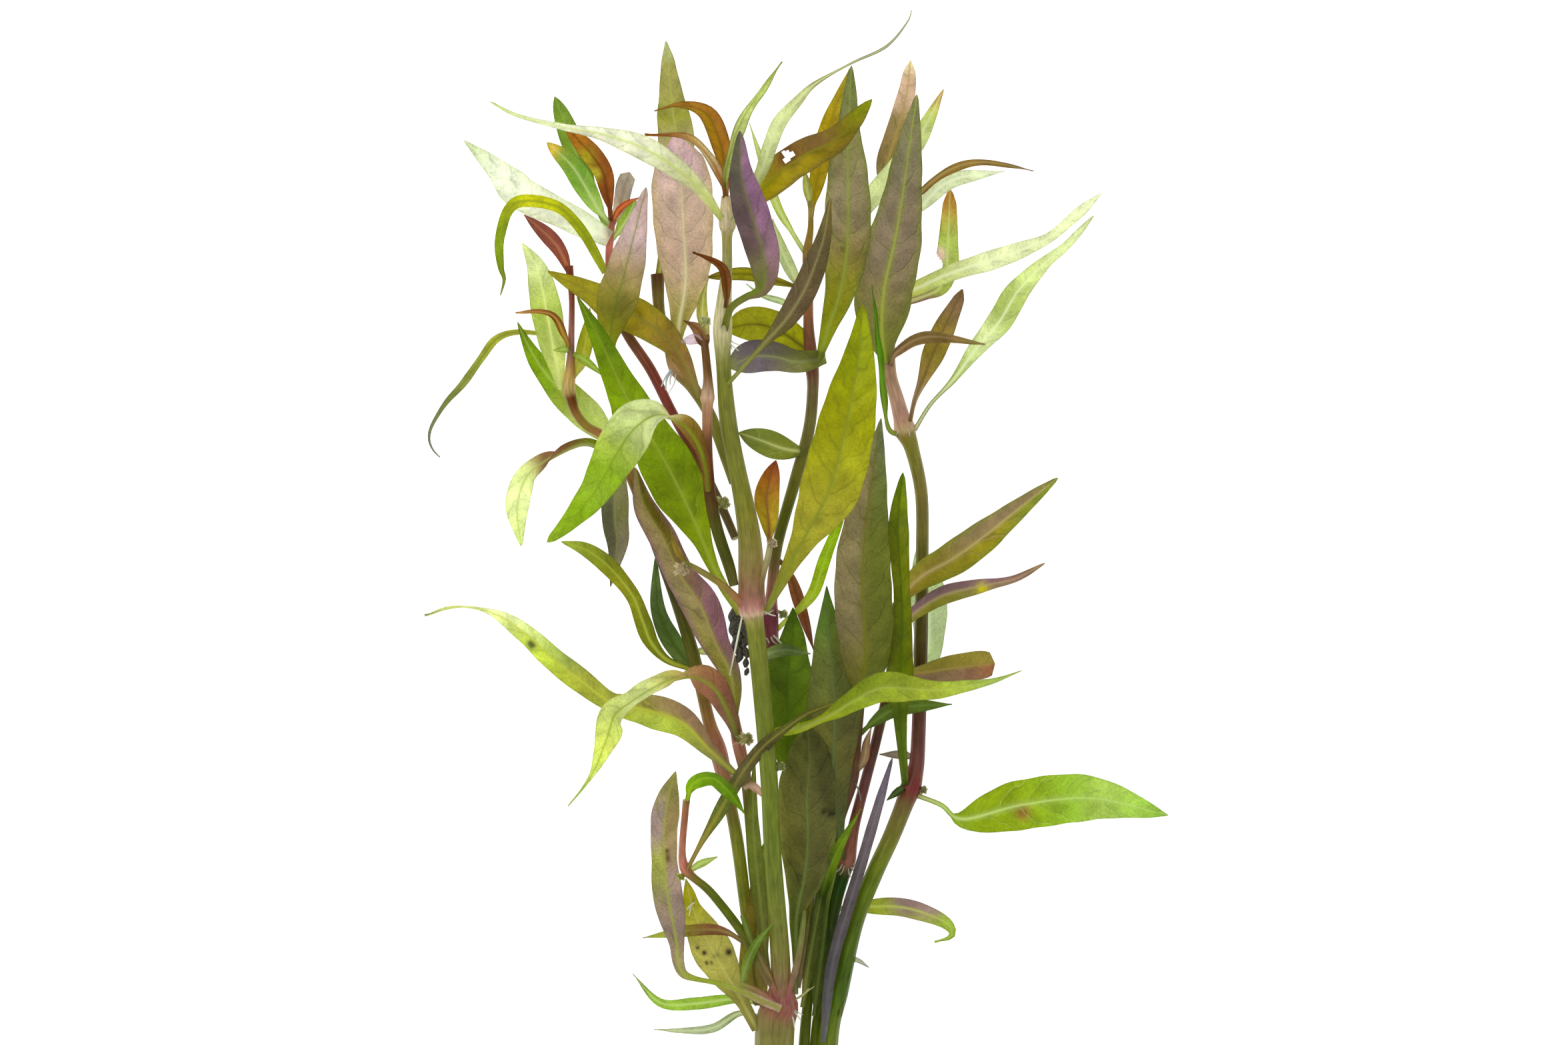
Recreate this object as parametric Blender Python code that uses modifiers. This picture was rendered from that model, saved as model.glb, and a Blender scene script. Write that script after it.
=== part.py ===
"""A loose bunch of cut Alternanthera reineckii stems, lying on a surface with its tips towards +Y.

Every stem is a tapered tube with swollen nodes, and every large leaf is a sheet of its own that
starts 0.3 mm off the stem it grows on. Small leaves and shoots are joined to their stem.
"""

import math

import bmesh
import bpy
import numpy as np

# All points below are in millimetres: x to the right, y from the cut ends to the tips, z up from
# the surface. The origin is moved to the middle of the bunch, on the surface.
MM = 0.001
MIDDLE_X = 2.8
MIDDLE_Y = 102.3

LEAF_THICKNESS = 0.6
PETIOLE_HALF_WIDTH = 0.55
TIP_HALF_WIDTH = 0.22
CUP_ANGLE = 13.0
LEAF_ROWS = 7
SHOOT_ROWS = 4
THIN_SIDES = 1
ROUND_SIDES = 2

# Colour, roughness
COLOURS = {
    "lime": ((0.36, 0.42, 0.03), 0.5),
    "green": ((0.13, 0.24, 0.02), 0.5),
    "olive": ((0.20, 0.19, 0.04), 0.55),
    "mauve": ((0.27, 0.19, 0.15), 0.6),
    "pink": ((0.55, 0.37, 0.32), 0.6),
    "purple": ((0.16, 0.09, 0.14), 0.6),
    "pale": ((0.66, 0.72, 0.42), 0.55),
    "brown": ((0.26, 0.11, 0.03), 0.6),
    "stem green": ((0.20, 0.23, 0.05), 0.45),
    "stem red": ((0.30, 0.14, 0.09), 0.45),
}


def clear_scene():
    for old in list(bpy.data.objects):
        bpy.data.objects.remove(old, do_unlink=True)


def new_collection(name):
    group = bpy.data.collections.new(name)
    bpy.context.scene.collection.children.link(group)
    return group


def plant_material(name):
    colour, roughness = COLOURS[name]
    material = bpy.data.materials.new(name)
    material.use_nodes = True
    shader = material.node_tree.nodes["Principled BSDF"]
    shader.inputs["Base Color"].default_value = (*colour, 1.0)
    shader.inputs["Roughness"].default_value = roughness
    shader.inputs["Metallic"].default_value = 0.0
    return material


def smooth_path(points, count):
    """count rows, evenly spaced along a Catmull-Rom curve through points."""
    points = np.array(points, dtype=float)
    ends = np.vstack((2 * points[0] - points[1], points, 2 * points[-1] - points[-2]))
    fine = []
    for i in range(1, len(ends) - 2):
        a, b, c, d = ends[i - 1 : i + 3]
        for t in np.linspace(0.0, 1.0, 24, endpoint=False):
            near = 2 * b + (c - a) * t
            bend = (2 * a - 5 * b + 4 * c - d) * t**2
            turn = (3 * b - a - 3 * c + d) * t**3
            fine.append(0.5 * (near + bend + turn))
    fine.append(points[-1])
    fine = np.array(fine)
    steps = np.linalg.norm(np.diff(fine[:, :3], axis=0), axis=1)
    run = np.concatenate(([0.0], np.cumsum(steps)))
    wanted = np.linspace(0.0, run[-1], count)
    return np.column_stack([np.interp(wanted, run, fine[:, k]) for k in range(fine.shape[1])])


def to_part(x, y, z):
    return ((x - MIDDLE_X) * MM, (y - MIDDLE_Y) * MM, z * MM)


def half_width(along, width, peak, point, petiole):
    """Half the leaf's width at a share of its length: a narrow stalk, then a lance-shaped blade."""
    if along <= petiole:
        return PETIOLE_HALF_WIDTH
    t = (along - petiole) / (1.0 - petiole)
    rise = (t / peak) ** (point * peak)
    fall = ((1.0 - t) / (1.0 - peak)) ** (point * (1.0 - peak))
    stalk = PETIOLE_HALF_WIDTH * (1.0 - t) + TIP_HALF_WIDTH * t
    return max(width / 2 * rise * fall, stalk)


def leaf_sheet(name, stations, width, peak, point, petiole, rows):
    """A leaf's mid surface. A station is x, y, z and the roll: 0 shows the upper face from
    above, 180 the underside, and 90 the edge. The blade is folded up along its midrib."""
    path = smooth_path(stations, rows + 1)
    ways = np.gradient(path[:, :3], axis=0)
    mesh = bpy.data.meshes.new(name)
    sheet = bmesh.new()
    bmesh.ops.create_grid(sheet, x_segments=2, y_segments=rows, size=1.0)
    lift = math.tan(math.radians(CUP_ANGLE))
    for vert in sheet.verts:
        along = (vert.co.y + 1.0) / 2.0
        row = round(along * rows)
        way = ways[row] / np.linalg.norm(ways[row])
        facing = np.array((0.0, 0.0, 1.0)) - way[2] * way
        facing /= np.linalg.norm(facing)
        side = np.cross(way, facing)
        roll = math.radians(path[row, 3])
        across = math.cos(roll) * side - math.sin(roll) * facing
        upward = math.cos(roll) * facing + math.sin(roll) * side
        half = half_width(along, width, peak, point, petiole)
        spot = path[row, :3] + vert.co.x * half * across + abs(vert.co.x) * half * lift * upward
        vert.co = to_part(*spot)
    sheet.to_mesh(mesh)
    sheet.free()
    mesh.shade_smooth()
    return mesh


def add_leaf(group, name, colour, width, stations, peak=0.42, point=1.9, petiole=0.1, rows=LEAF_ROWS):
    mesh = leaf_sheet(name, stations, width, peak, point, petiole, rows)
    leaf = bpy.data.objects.new(name, mesh)
    group.objects.link(leaf)
    solid = leaf.modifiers.new("thickness", "SOLIDIFY")
    solid.thickness = LEAF_THICKNESS * MM
    solid.offset = 0.0
    mesh.materials.append(bpy.data.materials[colour])
    return leaf


def stem_mesh(name, points, sides):
    """A tapered tube through points of x, y, z and radius, as a closed mesh."""
    curve = bpy.data.curves.new(name, "CURVE")
    curve.dimensions = "3D"
    curve.bevel_depth = MM
    curve.bevel_resolution = sides
    curve.use_fill_caps = True
    spline = curve.splines.new("POLY")
    spline.points.add(len(points) - 1)
    for knot, (x, y, z, radius) in zip(spline.points, points):
        knot.co = (*to_part(x, y, z), 1.0)
        knot.radius = radius
    tube = bpy.data.objects.new(name, curve)
    bpy.context.scene.collection.objects.link(tube)
    graph = bpy.context.evaluated_depsgraph_get()
    mesh = bpy.data.meshes.new_from_object(tube.evaluated_get(graph))
    bpy.data.objects.remove(tube, do_unlink=True)
    bpy.data.curves.remove(curve)
    welded = bmesh.new()
    welded.from_mesh(mesh)
    bmesh.ops.remove_doubles(welded, verts=welded.verts, dist=0.00001)
    bmesh.ops.recalc_face_normals(welded, faces=welded.faces)
    welded.to_mesh(mesh)
    welded.free()
    mesh.shade_smooth()
    return mesh


def add_stem(group, cutters, name, colour, points, shoots=(), sides=THIN_SIDES):
    """A stem with its shoots, each a width, its rows and its stations, joined to it."""
    mesh = stem_mesh(name, points, sides)
    stem = bpy.data.objects.new(name, mesh)
    group.objects.link(stem)
    mesh.materials.append(bpy.data.materials[colour])
    for number, (width, rows, stations) in enumerate(shoots, start=1):
        shoot_name = f"{name}_shoot_{number}"
        shoot = add_leaf(cutters, shoot_name, colour, width, stations, rows=rows)
        shoot.hide_render = True
        shoot.display_type = "WIRE"
        join = stem.modifiers.new(shoot_name, "BOOLEAN")
        join.operation = "UNION"
        join.solver = "EXACT"
        join.object = shoot
    return stem


clear_scene()
plant = new_collection("alternanthera_reineckii")
joined_shoots = new_collection("joined_shoots")
for colour_name in COLOURS:
    plant_material(colour_name)


def stem(name, colour, points, shoots=(), sides=THIN_SIDES):
    return add_stem(plant, joined_shoots, name, colour, points, shoots, sides)


def leaf(name, colour, width, stations, **shape):
    return add_leaf(plant, name, colour, width, stations, **shape)


# Stems, from the front to the back: x, y, z and radius
stem(
    "stem_main",
    "stem green",
    [
        (-2.4, -28.0, 4.2, 4.2), (-2.4, -10.0, 6.0, 4.2), (-2.0, 4.0, 9.6, 4.3), (-0.6, 8.5, 11.0, 4.6),
        (-0.5, 13.5, 13.0, 2.5), (-1.0, 22.0, 16.0, 2.1), (-2.5, 42.0, 22.0, 1.9), (-3.5, 62.0, 27.0, 1.9),
        (-5.8, 88.0, 31.2, 2.0), (-7.2, 97.5, 33.0, 2.9), (-8.2, 108.0, 34.4, 2.4), (-9.8, 121.0, 35.7, 2.1),
        (-12.5, 140.0, 37.3, 1.9), (-13.6, 153.0, 38.2, 1.6), (-13.8, 161.0, 38.5, 2.1), (-13.4, 168.0, 38.5, 1.6),
        (-12.8, 175.0, 38.5, 1.15), (-12.8, 182.0, 38.2, 1.15), (-12.7, 184.8, 38.0, 1.9), (-13.0, 191.0, 37.4, 1.0),
    ],
    shoots=[
        (1.6, SHOOT_ROWS, [(-8.5, 98.5, 34.0, 0), (-14.0, 103.0, 36.6, 0), (-21.0, 108.3, 37.8, 0), (-25.3, 115.0, 37.0, 0)]),
        (5.2, SHOOT_ROWS, [(-5.6, 99.2, 34.4, 0), (-4.9, 104.6, 37.8, 0), (-3.2, 113.0, 39.0, 0), (-3.5, 122.0, 39.0, 0),
               (-1.8, 131.0, 38.0, 0)]),
        (2.8, 6, [(-13.2, 189.5, 37.4, 0), (-13.5, 193.0, 39.5, 20), (-16.5, 199.2, 39.5, 40), (-22.0, 204.2, 38.5, 60),
               (-31.3, 204.9, 37.5, 60)]),
        (3.6, 6, [(-13.0, 189.5, 37.6, 20), (-12.9, 197.0, 40.6, 50), (-9.0, 208.6, 42.4, 50), (-0.2, 221.0, 41.0, 60)]),
        (2.2, SHOOT_ROWS, [(-13.2, 164.5, 39.6, 0), (-12.9, 169.5, 41.8, 0), (-14.0, 175.0, 42.5, 20), (-20.5, 178.3, 42.5, 30)]),
        (3.0, SHOOT_ROWS, [(-5.6, 86.8, 30.0, 0), (-3.8, 87.8, 27.0, 0), (0.0, 88.9, 25.7, 0), (6.0, 88.0, 25.0, 0)]),
        (2.0, SHOOT_ROWS, [(-4.5, 5.4, 8.0, 0), (-10.0, 6.6, 5.0, 0), (-16.0, 3.2, 3.0, 0), (-23.0, 2.6, 2.2, 0),
               (-29.5, 2.9, 1.6, 0)]),
        (2.8, SHOOT_ROWS, [(-3.4, 8.4, 9.6, 0), (-11.0, 9.8, 6.6, 0), (-20.0, 8.8, 5.4, 0), (-28.0, 9.0, 5.0, 0),
               (-34.2, 15.5, 4.6, 0)]),
    ],
    sides=ROUND_SIDES,
)
stem(
    "stem_left",
    "stem red",
    [
        (-5.6, 12.5, 8.0, 1.2), (-8.0, 26.0, 8.0, 1.3), (-10.5, 45.0, 11.0, 1.4), (-12.2, 54.0, 13.0, 1.4),
        (-14.7, 65.5, 15.0, 1.9), (-17.0, 73.0, 16.0, 1.4), (-20.0, 86.0, 17.0, 1.4), (-24.5, 101.0, 18.0, 1.4),
        (-29.0, 113.0, 19.0, 1.2), (-33.0, 124.0, 20.0, 1.1), (-36.5, 133.0, 21.0, 1.6), (-41.0, 137.3, 21.5, 1.0),
        (-44.5, 139.3, 22.0, 0.95), (-47.0, 142.5, 22.5, 0.95), (-48.4, 146.5, 23.0, 1.5), (-48.2, 152.0, 23.3, 1.1),
        (-47.9, 160.0, 23.5, 0.7), (-47.8, 168.0, 23.0, 0.65), (-48.4, 175.5, 23.0, 0.9),
    ],
    shoots=[
        (3.6, SHOOT_ROWS, [(-48.2, 173.0, 23.0, 0), (-50.0, 178.0, 23.5, 0), (-53.0, 182.0, 22.5, 0), (-58.6, 187.0, 21.0, 0)]),
        (1.9, SHOOT_ROWS, [(-48.0, 156.0, 23.5, 0), (-49.5, 159.7, 25.6, 20), (-52.5, 164.5, 26.4, 40), (-60.5, 165.0, 25.0, 50)]),
        (1.5, SHOOT_ROWS, [(-47.9, 156.4, 23.4, 0), (-49.6, 156.6, 25.8, 0), (-51.9, 156.4, 27.0, 0)]),
        (1.9, SHOOT_ROWS, [(-47.9, 155.8, 23.4, 0), (-45.5, 154.6, 27.2, 0), (-43.0, 152.7, 28.0, 0), (-40.5, 150.4, 28.0, 0)]),
        (3.5, SHOOT_ROWS, [(-48.3, 148.5, 23.0, 0), (-45.6, 154.5, 23.4, 0), (-44.3, 161.0, 24.2, 0), (-43.7, 166.0, 24.5, 0)]),
        (4.3, SHOOT_ROWS, [(-20.2, 85.0, 16.2, 0), (-23.8, 88.5, 16.0, 0), (-28.3, 97.5, 16.5, 0), (-29.0, 109.8, 17.0, 0)]),
    ],
)
stem(
    "stem_back_left",
    "stem green",
    [
        (-11.2, 126.5, 33.2, 1.1), (-13.0, 132.0, 32.0, 1.25), (-16.5, 141.5, 30.4, 1.3), (-20.5, 148.0, 29.5, 1.4),
        (-24.0, 152.5, 29.0, 1.9), (-26.0, 158.0, 28.5, 1.2), (-28.0, 165.0, 28.0, 1.2), (-28.5, 173.5, 27.0, 1.5),
    ],
)
stem(
    "stem_upper_branch",
    "stem green",
    [
        (-11.2, 103.4, 36.1, 1.0), (-12.4, 108.0, 36.4, 1.25), (-15.0, 116.0, 37.2, 1.3), (-16.6, 124.0, 38.5, 1.3),
        (-17.2, 134.0, 39.0, 1.1), (-17.2, 143.5, 39.0, 1.2), (-17.2, 145.5, 38.9, 1.6), (-17.1, 150.0, 38.4, 1.0),
        (-17.9, 158.5, 37.3, 0.85),
    ],
)
stem(
    "stem_centre",
    "stem red",
    [
        (2.9, 12.5, 10.0, 0.85), (5.3, 27.0, 10.5, 0.85), (6.0, 36.0, 11.0, 0.9), (5.0, 50.0, 12.5, 1.0),
        (2.0, 66.0, 14.0, 1.2), (-1.2, 80.0, 17.5, 1.4), (-3.2, 92.0, 22.5, 2.0), (-2.8, 101.0, 24.3, 1.3),
        (-1.5, 112.5, 26.0, 1.2), (2.5, 127.0, 28.0, 1.3), (5.6, 138.5, 29.8, 1.3), (6.5, 148.0, 30.6, 1.25),
        (6.2, 153.5, 31.0, 1.5), (5.5, 162.0, 31.5, 1.15), (5.5, 171.0, 32.0, 1.0), (5.2, 178.0, 32.0, 1.0),
        (6.0, 184.0, 32.0, 0.65), (5.9, 190.0, 32.0, 0.5),
    ],
    shoots=[
        (2.6, 6, [(-2.0, 93.0, 22.6, 0), (1.0, 96.0, 23.2, 0), (3.4, 98.0, 24.4, 0), (6.8, 102.2, 28.8, 0),
               (9.4, 110.0, 32.6, 0), (14.0, 121.5, 33.5, 0)]),
        (4.5, SHOOT_ROWS, [(5.2, 133.6, 29.4, 0), (0.0, 134.4, 32.0, 0), (-5.0, 136.2, 32.6, 0), (-9.6, 137.8, 32.4, 0)]),
        (3.0, SHOOT_ROWS, [(5.2, 168.6, 31.6, 0), (2.6, 172.4, 30.0, 0), (-0.5, 179.0, 28.0, 0), (-2.6, 186.0, 27.0, 0)]),
        (2.1, SHOOT_ROWS, [(4.9, 178.0, 32.2, 0), (1.6, 183.3, 32.8, 0), (-2.0, 190.0, 33.4, 0), (-7.8, 207.5, 31.0, 0)]),
        (4.6, SHOOT_ROWS, [(5.9, 185.0, 31.8, 0), (7.0, 192.0, 28.5, 0), (9.7, 205.0, 25.5, 0), (14.8, 220.0, 21.0, 0)]),
        (2.8, SHOOT_ROWS, [(-1.6, 109.5, 25.2, 0), (1.0, 106.5, 24.2, 0), (3.6, 99.0, 22.0, 0), (6.8, 88.5, 21.6, 0)]),
        (2.2, SHOOT_ROWS, [(5.9, 188.5, 32.0, 0), (5.4, 192.0, 32.4, 0), (4.6, 197.0, 32.0, 0)]),
    ],
)
stem(
    "stem_right",
    "stem green",
    [
        (9.8, -28.0, 1.84, 2.1), (10.0, 0.0, 4.4, 2.2), (12.6, 12.0, 6.0, 2.0), (16.0, 27.0, 8.0, 1.9),
        (20.3, 38.0, 9.8, 1.9), (24.2, 46.5, 11.2, 1.9), (28.5, 57.5, 12.5, 2.2), (30.2, 66.0, 12.9, 1.6),
        (30.8, 85.0, 13.5, 1.5), (31.2, 110.0, 14.4, 1.4), (31.0, 124.0, 16.0, 1.4), (28.9, 134.0, 18.8, 1.6),
        (27.2, 138.2, 19.6, 2.5), (26.2, 142.0, 20.2, 1.7), (23.7, 152.0, 21.0, 1.5), (23.8, 162.0, 21.5, 1.4),
        (25.3, 174.0, 22.0, 1.2), (26.2, 186.0, 22.0, 1.0),
    ],
    shoots=[
        (1.8, SHOOT_ROWS, [(28.2, 58.5, 13.5, 0), (25.6, 56.8, 15.2, 0), (23.2, 54.9, 15.6, 0)]),
        (2.0, SHOOT_ROWS, [(30.2, 63.6, 12.0, 0), (27.5, 65.0, 10.6, 0), (21.5, 65.2, 10.0, 0)]),
        (1.2, SHOOT_ROWS, [(13.8, 16.8, 6.4, 0), (16.0, 18.8, 7.2, 0), (19.2, 17.0, 7.4, 0)]),
        (2.0, SHOOT_ROWS, [(26.2, 185.5, 22.4, 0), (31.2, 192.4, 23.6, 20), (38.0, 197.4, 24.0, 30), (46.0, 198.8, 22.4, 30),
               (56.3, 196.8, 19.0, 30)]),
        (3.6, SHOOT_ROWS, [(26.2, 184.0, 21.6, 0), (31.6, 189.6, 21.0, 0), (38.0, 194.8, 20.4, 0), (49.8, 196.8, 18.0, 20)]),
        (1.9, SHOOT_ROWS, [(26.0, 137.2, 20.0, 0), (23.4, 139.2, 25.0, 30), (22.2, 148.0, 34.0, 40), (21.0, 160.0, 38.0, 40),
               (19.8, 171.0, 39.0, 20)]),
        (2.8, SHOOT_ROWS, [(23.7, 152.6, 21.6, 0), (25.6, 156.2, 27.5, 20), (32.5, 159.4, 30.5, 20), (45.3, 157.7, 26.0, 20)]),
    ],
)
stem(
    "stem_inner_right",
    "stem red",
    [
        (6.0, -28.0, 1.24, 1.4), (7.0, 0.0, 3.0, 1.1), (9.3, 15.0, 5.5, 1.1), (11.4, 30.0, 8.2, 1.3),
        (14.2, 41.0, 11.0, 1.9), (16.0, 50.0, 12.2, 1.25), (18.6, 60.0, 13.2, 1.15), (21.2, 70.0, 14.6, 1.1),
        (24.0, 83.0, 17.4, 1.1), (25.4, 99.5, 21.0, 0.9),
    ],
    shoots=[
        (6.6, SHOOT_ROWS, [(24.3, 83.4, 18.0, 0), (30.2, 83.6, 20.0, 0), (38.5, 84.8, 19.4, 0), (47.6, 85.8, 17.4, 0)]),
        (4.3, 7, [(11.6, 30.2, 7.6, 0), (17.5, 30.6, 4.4, 0), (27.0, 30.5, 3.8, 0), (36.0, 27.4, 3.4, 0),
               (38.0, 24.2, 3.0, 30), (34.0, 22.8, 2.4, 60)]),
    ],
)
stem(
    "stem_inner",
    "stem green",
    [
        (3.2, -28.0, 1.15, 1.3), (4.6, 0.0, 3.6, 1.2), (5.9, 14.0, 5.6, 1.0), (7.6, 31.0, 7.6, 1.0),
        (10.2, 43.0, 9.2, 1.0), (13.2, 52.0, 12.2, 1.0), (15.3, 60.0, 15.0, 1.5), (16.6, 68.0, 17.4, 0.85),
        (17.4, 77.5, 21.0, 0.85),
    ],
    shoots=[
        (2.8, SHOOT_ROWS, [(7.4, 28.5, 7.6, 0), (9.2, 35.5, 12.5, 0), (12.0, 43.5, 18.4, 0), (17.3, 53.0, 20.0, 0)]),
        (3.6, SHOOT_ROWS, [(16.8, 69.5, 17.8, 0), (20.5, 72.8, 20.0, 0), (26.0, 75.8, 20.6, 0), (38.0, 76.6, 18.0, 0)]),
        (2.0, SHOOT_ROWS, [(15.2, 59.8, 15.1, 0), (18.0, 64.0, 17.8, 0), (18.6, 68.0, 18.6, 0), (20.0, 72.0, 18.0, 40)]),
    ],
)
stem(
    "stem_behind_main",
    "stem green",
    [
        (-3.6, 14.0, 6.6, 0.9), (-5.2, 25.0, 6.4, 1.0), (-6.8, 38.0, 9.4, 1.1), (-7.7, 50.0, 14.0, 1.1),
        (-8.6, 60.0, 18.0, 1.2), (-10.3, 68.0, 21.2, 1.4), (-11.2, 74.0, 23.0, 1.0),
    ],
)
stem(
    "stem_top_left",
    "stem red",
    [
        (-10.9, 114.0, 32.2, 0.9), (-14.0, 121.0, 29.4, 1.0), (-18.0, 129.0, 27.5, 1.1), (-25.5, 143.0, 27.0, 1.1),
        (-30.0, 152.0, 26.5, 1.15), (-35.3, 160.0, 25.0, 1.1), (-37.8, 166.0, 23.4, 0.9), (-39.4, 176.0, 23.6, 0.85),
        (-38.8, 185.5, 25.0, 0.8),
    ],
    shoots=[
        (1.5, SHOOT_ROWS, [(-38.8, 185.0, 25.0, 0), (-37.2, 187.9, 28.0, 0), (-35.0, 189.7, 28.6, 0), (-32.3, 190.8, 28.6, 0)]),
        (3.6, SHOOT_ROWS, [(-38.8, 184.0, 24.4, 0), (-36.6, 190.0, 21.6, 0), (-35.2, 196.4, 21.0, 0)]),
        (3.4, SHOOT_ROWS, [(-39.0, 181.0, 23.6, 0), (-36.0, 185.0, 21.2, 0), (-33.4, 190.4, 20.0, 0)]),
        (5.0, SHOOT_ROWS, [(-39.0, 183.5, 24.2, 0), (-41.4, 186.8, 21.4, 0), (-46.5, 200.0, 19.6, 0), (-51.7, 213.7, 18.0, 0)]),
        (5.0, SHOOT_ROWS, [(-38.9, 184.6, 25.4, 0), (-42.0, 188.5, 26.6, 0), (-47.5, 197.6, 26.8, 0), (-53.4, 203.2, 26.6, 0)]),
        (4.7, 6, [(-38.9, 185.2, 25.2, 0), (-39.6, 191.0, 29.8, 0), (-41.5, 198.0, 31.2, 0), (-49.6, 207.4, 31.0, 0)]),
    ],
)
stem(
    "stem_lower_branch",
    "stem green",
    [
        (-3.4, 13.2, 15.4, 0.9), (-8.5, 23.5, 15.6, 1.0), (-16.0, 33.5, 14.6, 0.95), (-20.4, 37.4, 14.0, 0.9),
        (-22.2, 39.2, 14.2, 1.2), (-23.0, 43.0, 14.4, 0.8), (-22.3, 52.0, 16.0, 0.75), (-22.0, 55.0, 16.8, 0.8),
    ],
    shoots=[
        (4.0, SHOOT_ROWS, [(-22.0, 54.0, 16.6, 0), (-20.6, 58.6, 20.6, 30), (-16.4, 60.0, 23.0, 40), (-12.6, 57.2, 24.2, 20),
               (-8.7, 51.7, 23.0, 0)]),
        (1.8, SHOOT_ROWS, [(-21.8, 38.4, 13.8, 0), (-19.4, 40.2, 12.4, 0), (-15.0, 42.1, 12.0, 0)]),
        (2.7, SHOOT_ROWS, [(-8.6, 22.6, 15.0, 0), (-13.0, 25.0, 11.8, 20), (-19.0, 25.6, 10.4, 0), (-32.0, 23.7, 7.6, 0)]),
    ],
)

# Large leaves: the fan at the upper left
leaf("leaf_top_left_strap", "pale", 5.2,
     [(-14.4, 186.4, 39.4, 0), (-20.0, 192.5, 40.4, 0), (-30.0, 200.3, 40.0, 0), (-45.0, 205.7, 36.5, 0),
      (-57.0, 208.0, 33.0, 30), (-66.1, 212.3, 31.0, 40)], rows=8)
leaf("leaf_top_left_pale", "pale", 8.2,
     [(-40.1, 181.4, 25.4, 0), (-48.0, 186.5, 25.6, 0), (-60.0, 193.8, 23.0, 0), (-72.2, 203.8, 18.0, 0)], peak=0.5)
leaf("leaf_top_left_arch", "lime", 3.4,
     [(-40.6, 174.6, 24.8, 0), (-45.0, 181.0, 30.0, 0), (-49.0, 187.6, 31.6, 20), (-56.0, 190.5, 31.5, 40),
      (-62.0, 188.2, 28.0, 40), (-64.6, 180.0, 22.0, 20), (-63.8, 168.8, 16.0, 60)], rows=10, petiole=0.05)
leaf("leaf_upper_left_pale", "pale", 7.4,
     [(-50.4, 148.6, 23.4, 0), (-52.6, 159.0, 21.0, 0), (-55.0, 171.0, 17.4, 0), (-59.1, 180.6, 14.0, 0)], peak=0.45)
leaf("leaf_upper_left_green", "green", 8.0,
     [(-38.8, 135.8, 19.2, 0), (-46.0, 142.0, 17.8, 0), (-53.5, 150.0, 18.2, 0), (-60.1, 162.8, 19.0, 0)])
leaf("leaf_far_left_curl", "olive", 2.0,
     [(-49.0, 156.6, 22.0, 0), (-53.0, 159.4, 16.4, 30), (-61.0, 160.2, 14.6, 50), (-68.0, 154.4, 11.6, 50),
      (-77.5, 143.3, 6.4, 50), (-80.3, 136.5, 3.0, 50), (-77.8, 132.3, 0.4, 50)], rows=10, petiole=0.05)
leaf("leaf_upper_left_arch", "pale", 6.0,
     [(-39.6, 133.0, 21.4, 150), (-44.0, 135.4, 24.6, 130), (-49.5, 134.8, 26.0, 100), (-54.0, 132.0, 25.0, 50),
      (-59.0, 125.0, 20.0, 10), (-59.4, 112.0, 13.0, 0)], rows=8, peak=0.6)
leaf("leaf_left_mauve_upright", "mauve", 9.0,
     [(-37.3, 135.0, 23.0, 0), (-38.8, 149.0, 26.6, 0), (-38.8, 162.0, 32.6, 0), (-35.5, 175.0, 33.6, 0),
      (-31.0, 193.0, 32.0, 0)], rows=8, petiole=0.25, peak=0.45)
leaf("leaf_left_olive_slant", "olive", 6.8,
     [(-19.5, 146.6, 38.6, 0), (-24.0, 155.2, 36.6, 0), (-33.0, 163.5, 30.0, 0), (-43.0, 169.8, 27.2, 0),
      (-53.2, 174.2, 26.0, 0)])

# The fan at the top
leaf("leaf_top_pink", "pink", 13.6,
     [(-23.9, 154.9, 30.9, 180), (-23.4, 162.0, 32.4, 180), (-22.2, 178.0, 33.4, 180), (-24.3, 205.0, 31.0, 180)],
     rows=8, peak=0.5, point=1.7)
leaf("leaf_top_tall_behind", "olive", 8.2,
     [(-28.0, 174.1, 27.0, 0), (-24.6, 187.0, 25.0, 0), (-24.4, 203.0, 19.0, 0), (-26.7, 226.7, 0.3, 0)], rows=8)
leaf("leaf_top_brown_arch", "brown", 4.6,
     [(-13.1, 191.6, 36.8, 0), (-13.2, 198.0, 35.4, 0), (-15.6, 206.0, 35.6, 0), (-20.0, 211.0, 35.6, 30),
      (-29.2, 210.3, 34.6, 40)])
leaf("leaf_top_purple_cup", "purple", 8.4,
     [(-11.4, 162.0, 40.4, 0), (-9.4, 167.6, 43.4, 0), (-4.6, 171.0, 45.4, 30), (-3.6, 178.0, 47.6, 60),
      (-7.0, 190.0, 48.6, 40), (-9.9, 205.5, 46.0, 0)], rows=10, petiole=0.12)
leaf("leaf_top_pale_thread", "pale", 3.8,
     [(-11.0, 186.0, 39.6, 0), (-6.0, 196.0, 43.2, 0), (0.0, 208.4, 41.0, 0), (9.0, 217.8, 36.5, 40),
      (22.0, 223.8, 32.0, 60), (28.7, 232.8, 29.0, 60)], rows=10, peak=0.3)
leaf("leaf_top_olive_slant", "olive", 8.4,
     [(-10.2, 185.3, 37.8, 0), (-5.0, 193.2, 38.8, 0), (5.0, 200.0, 39.4, 0), (19.8, 212.8, 35.0, 0)], peak=0.5)
leaf("leaf_top_right_tall", "mauve", 10.2,
     [(8.1, 155.2, 32.6, 180), (11.0, 166.0, 33.4, 180), (14.2, 184.0, 32.0, 180), (15.2, 220.5, 24.6, 180)],
     rows=9, petiole=0.08, peak=0.52)
leaf("leaf_front_brown_slant", "mauve", 5.8,
     [(-11.5, 149.2, 40.0, 180), (-5.0, 157.0, 43.0, 180), (3.4, 166.6, 44.2, 180), (10.4, 190.5, 42.8, 180)],
     rows=8, petiole=0.2, peak=0.45)
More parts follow.
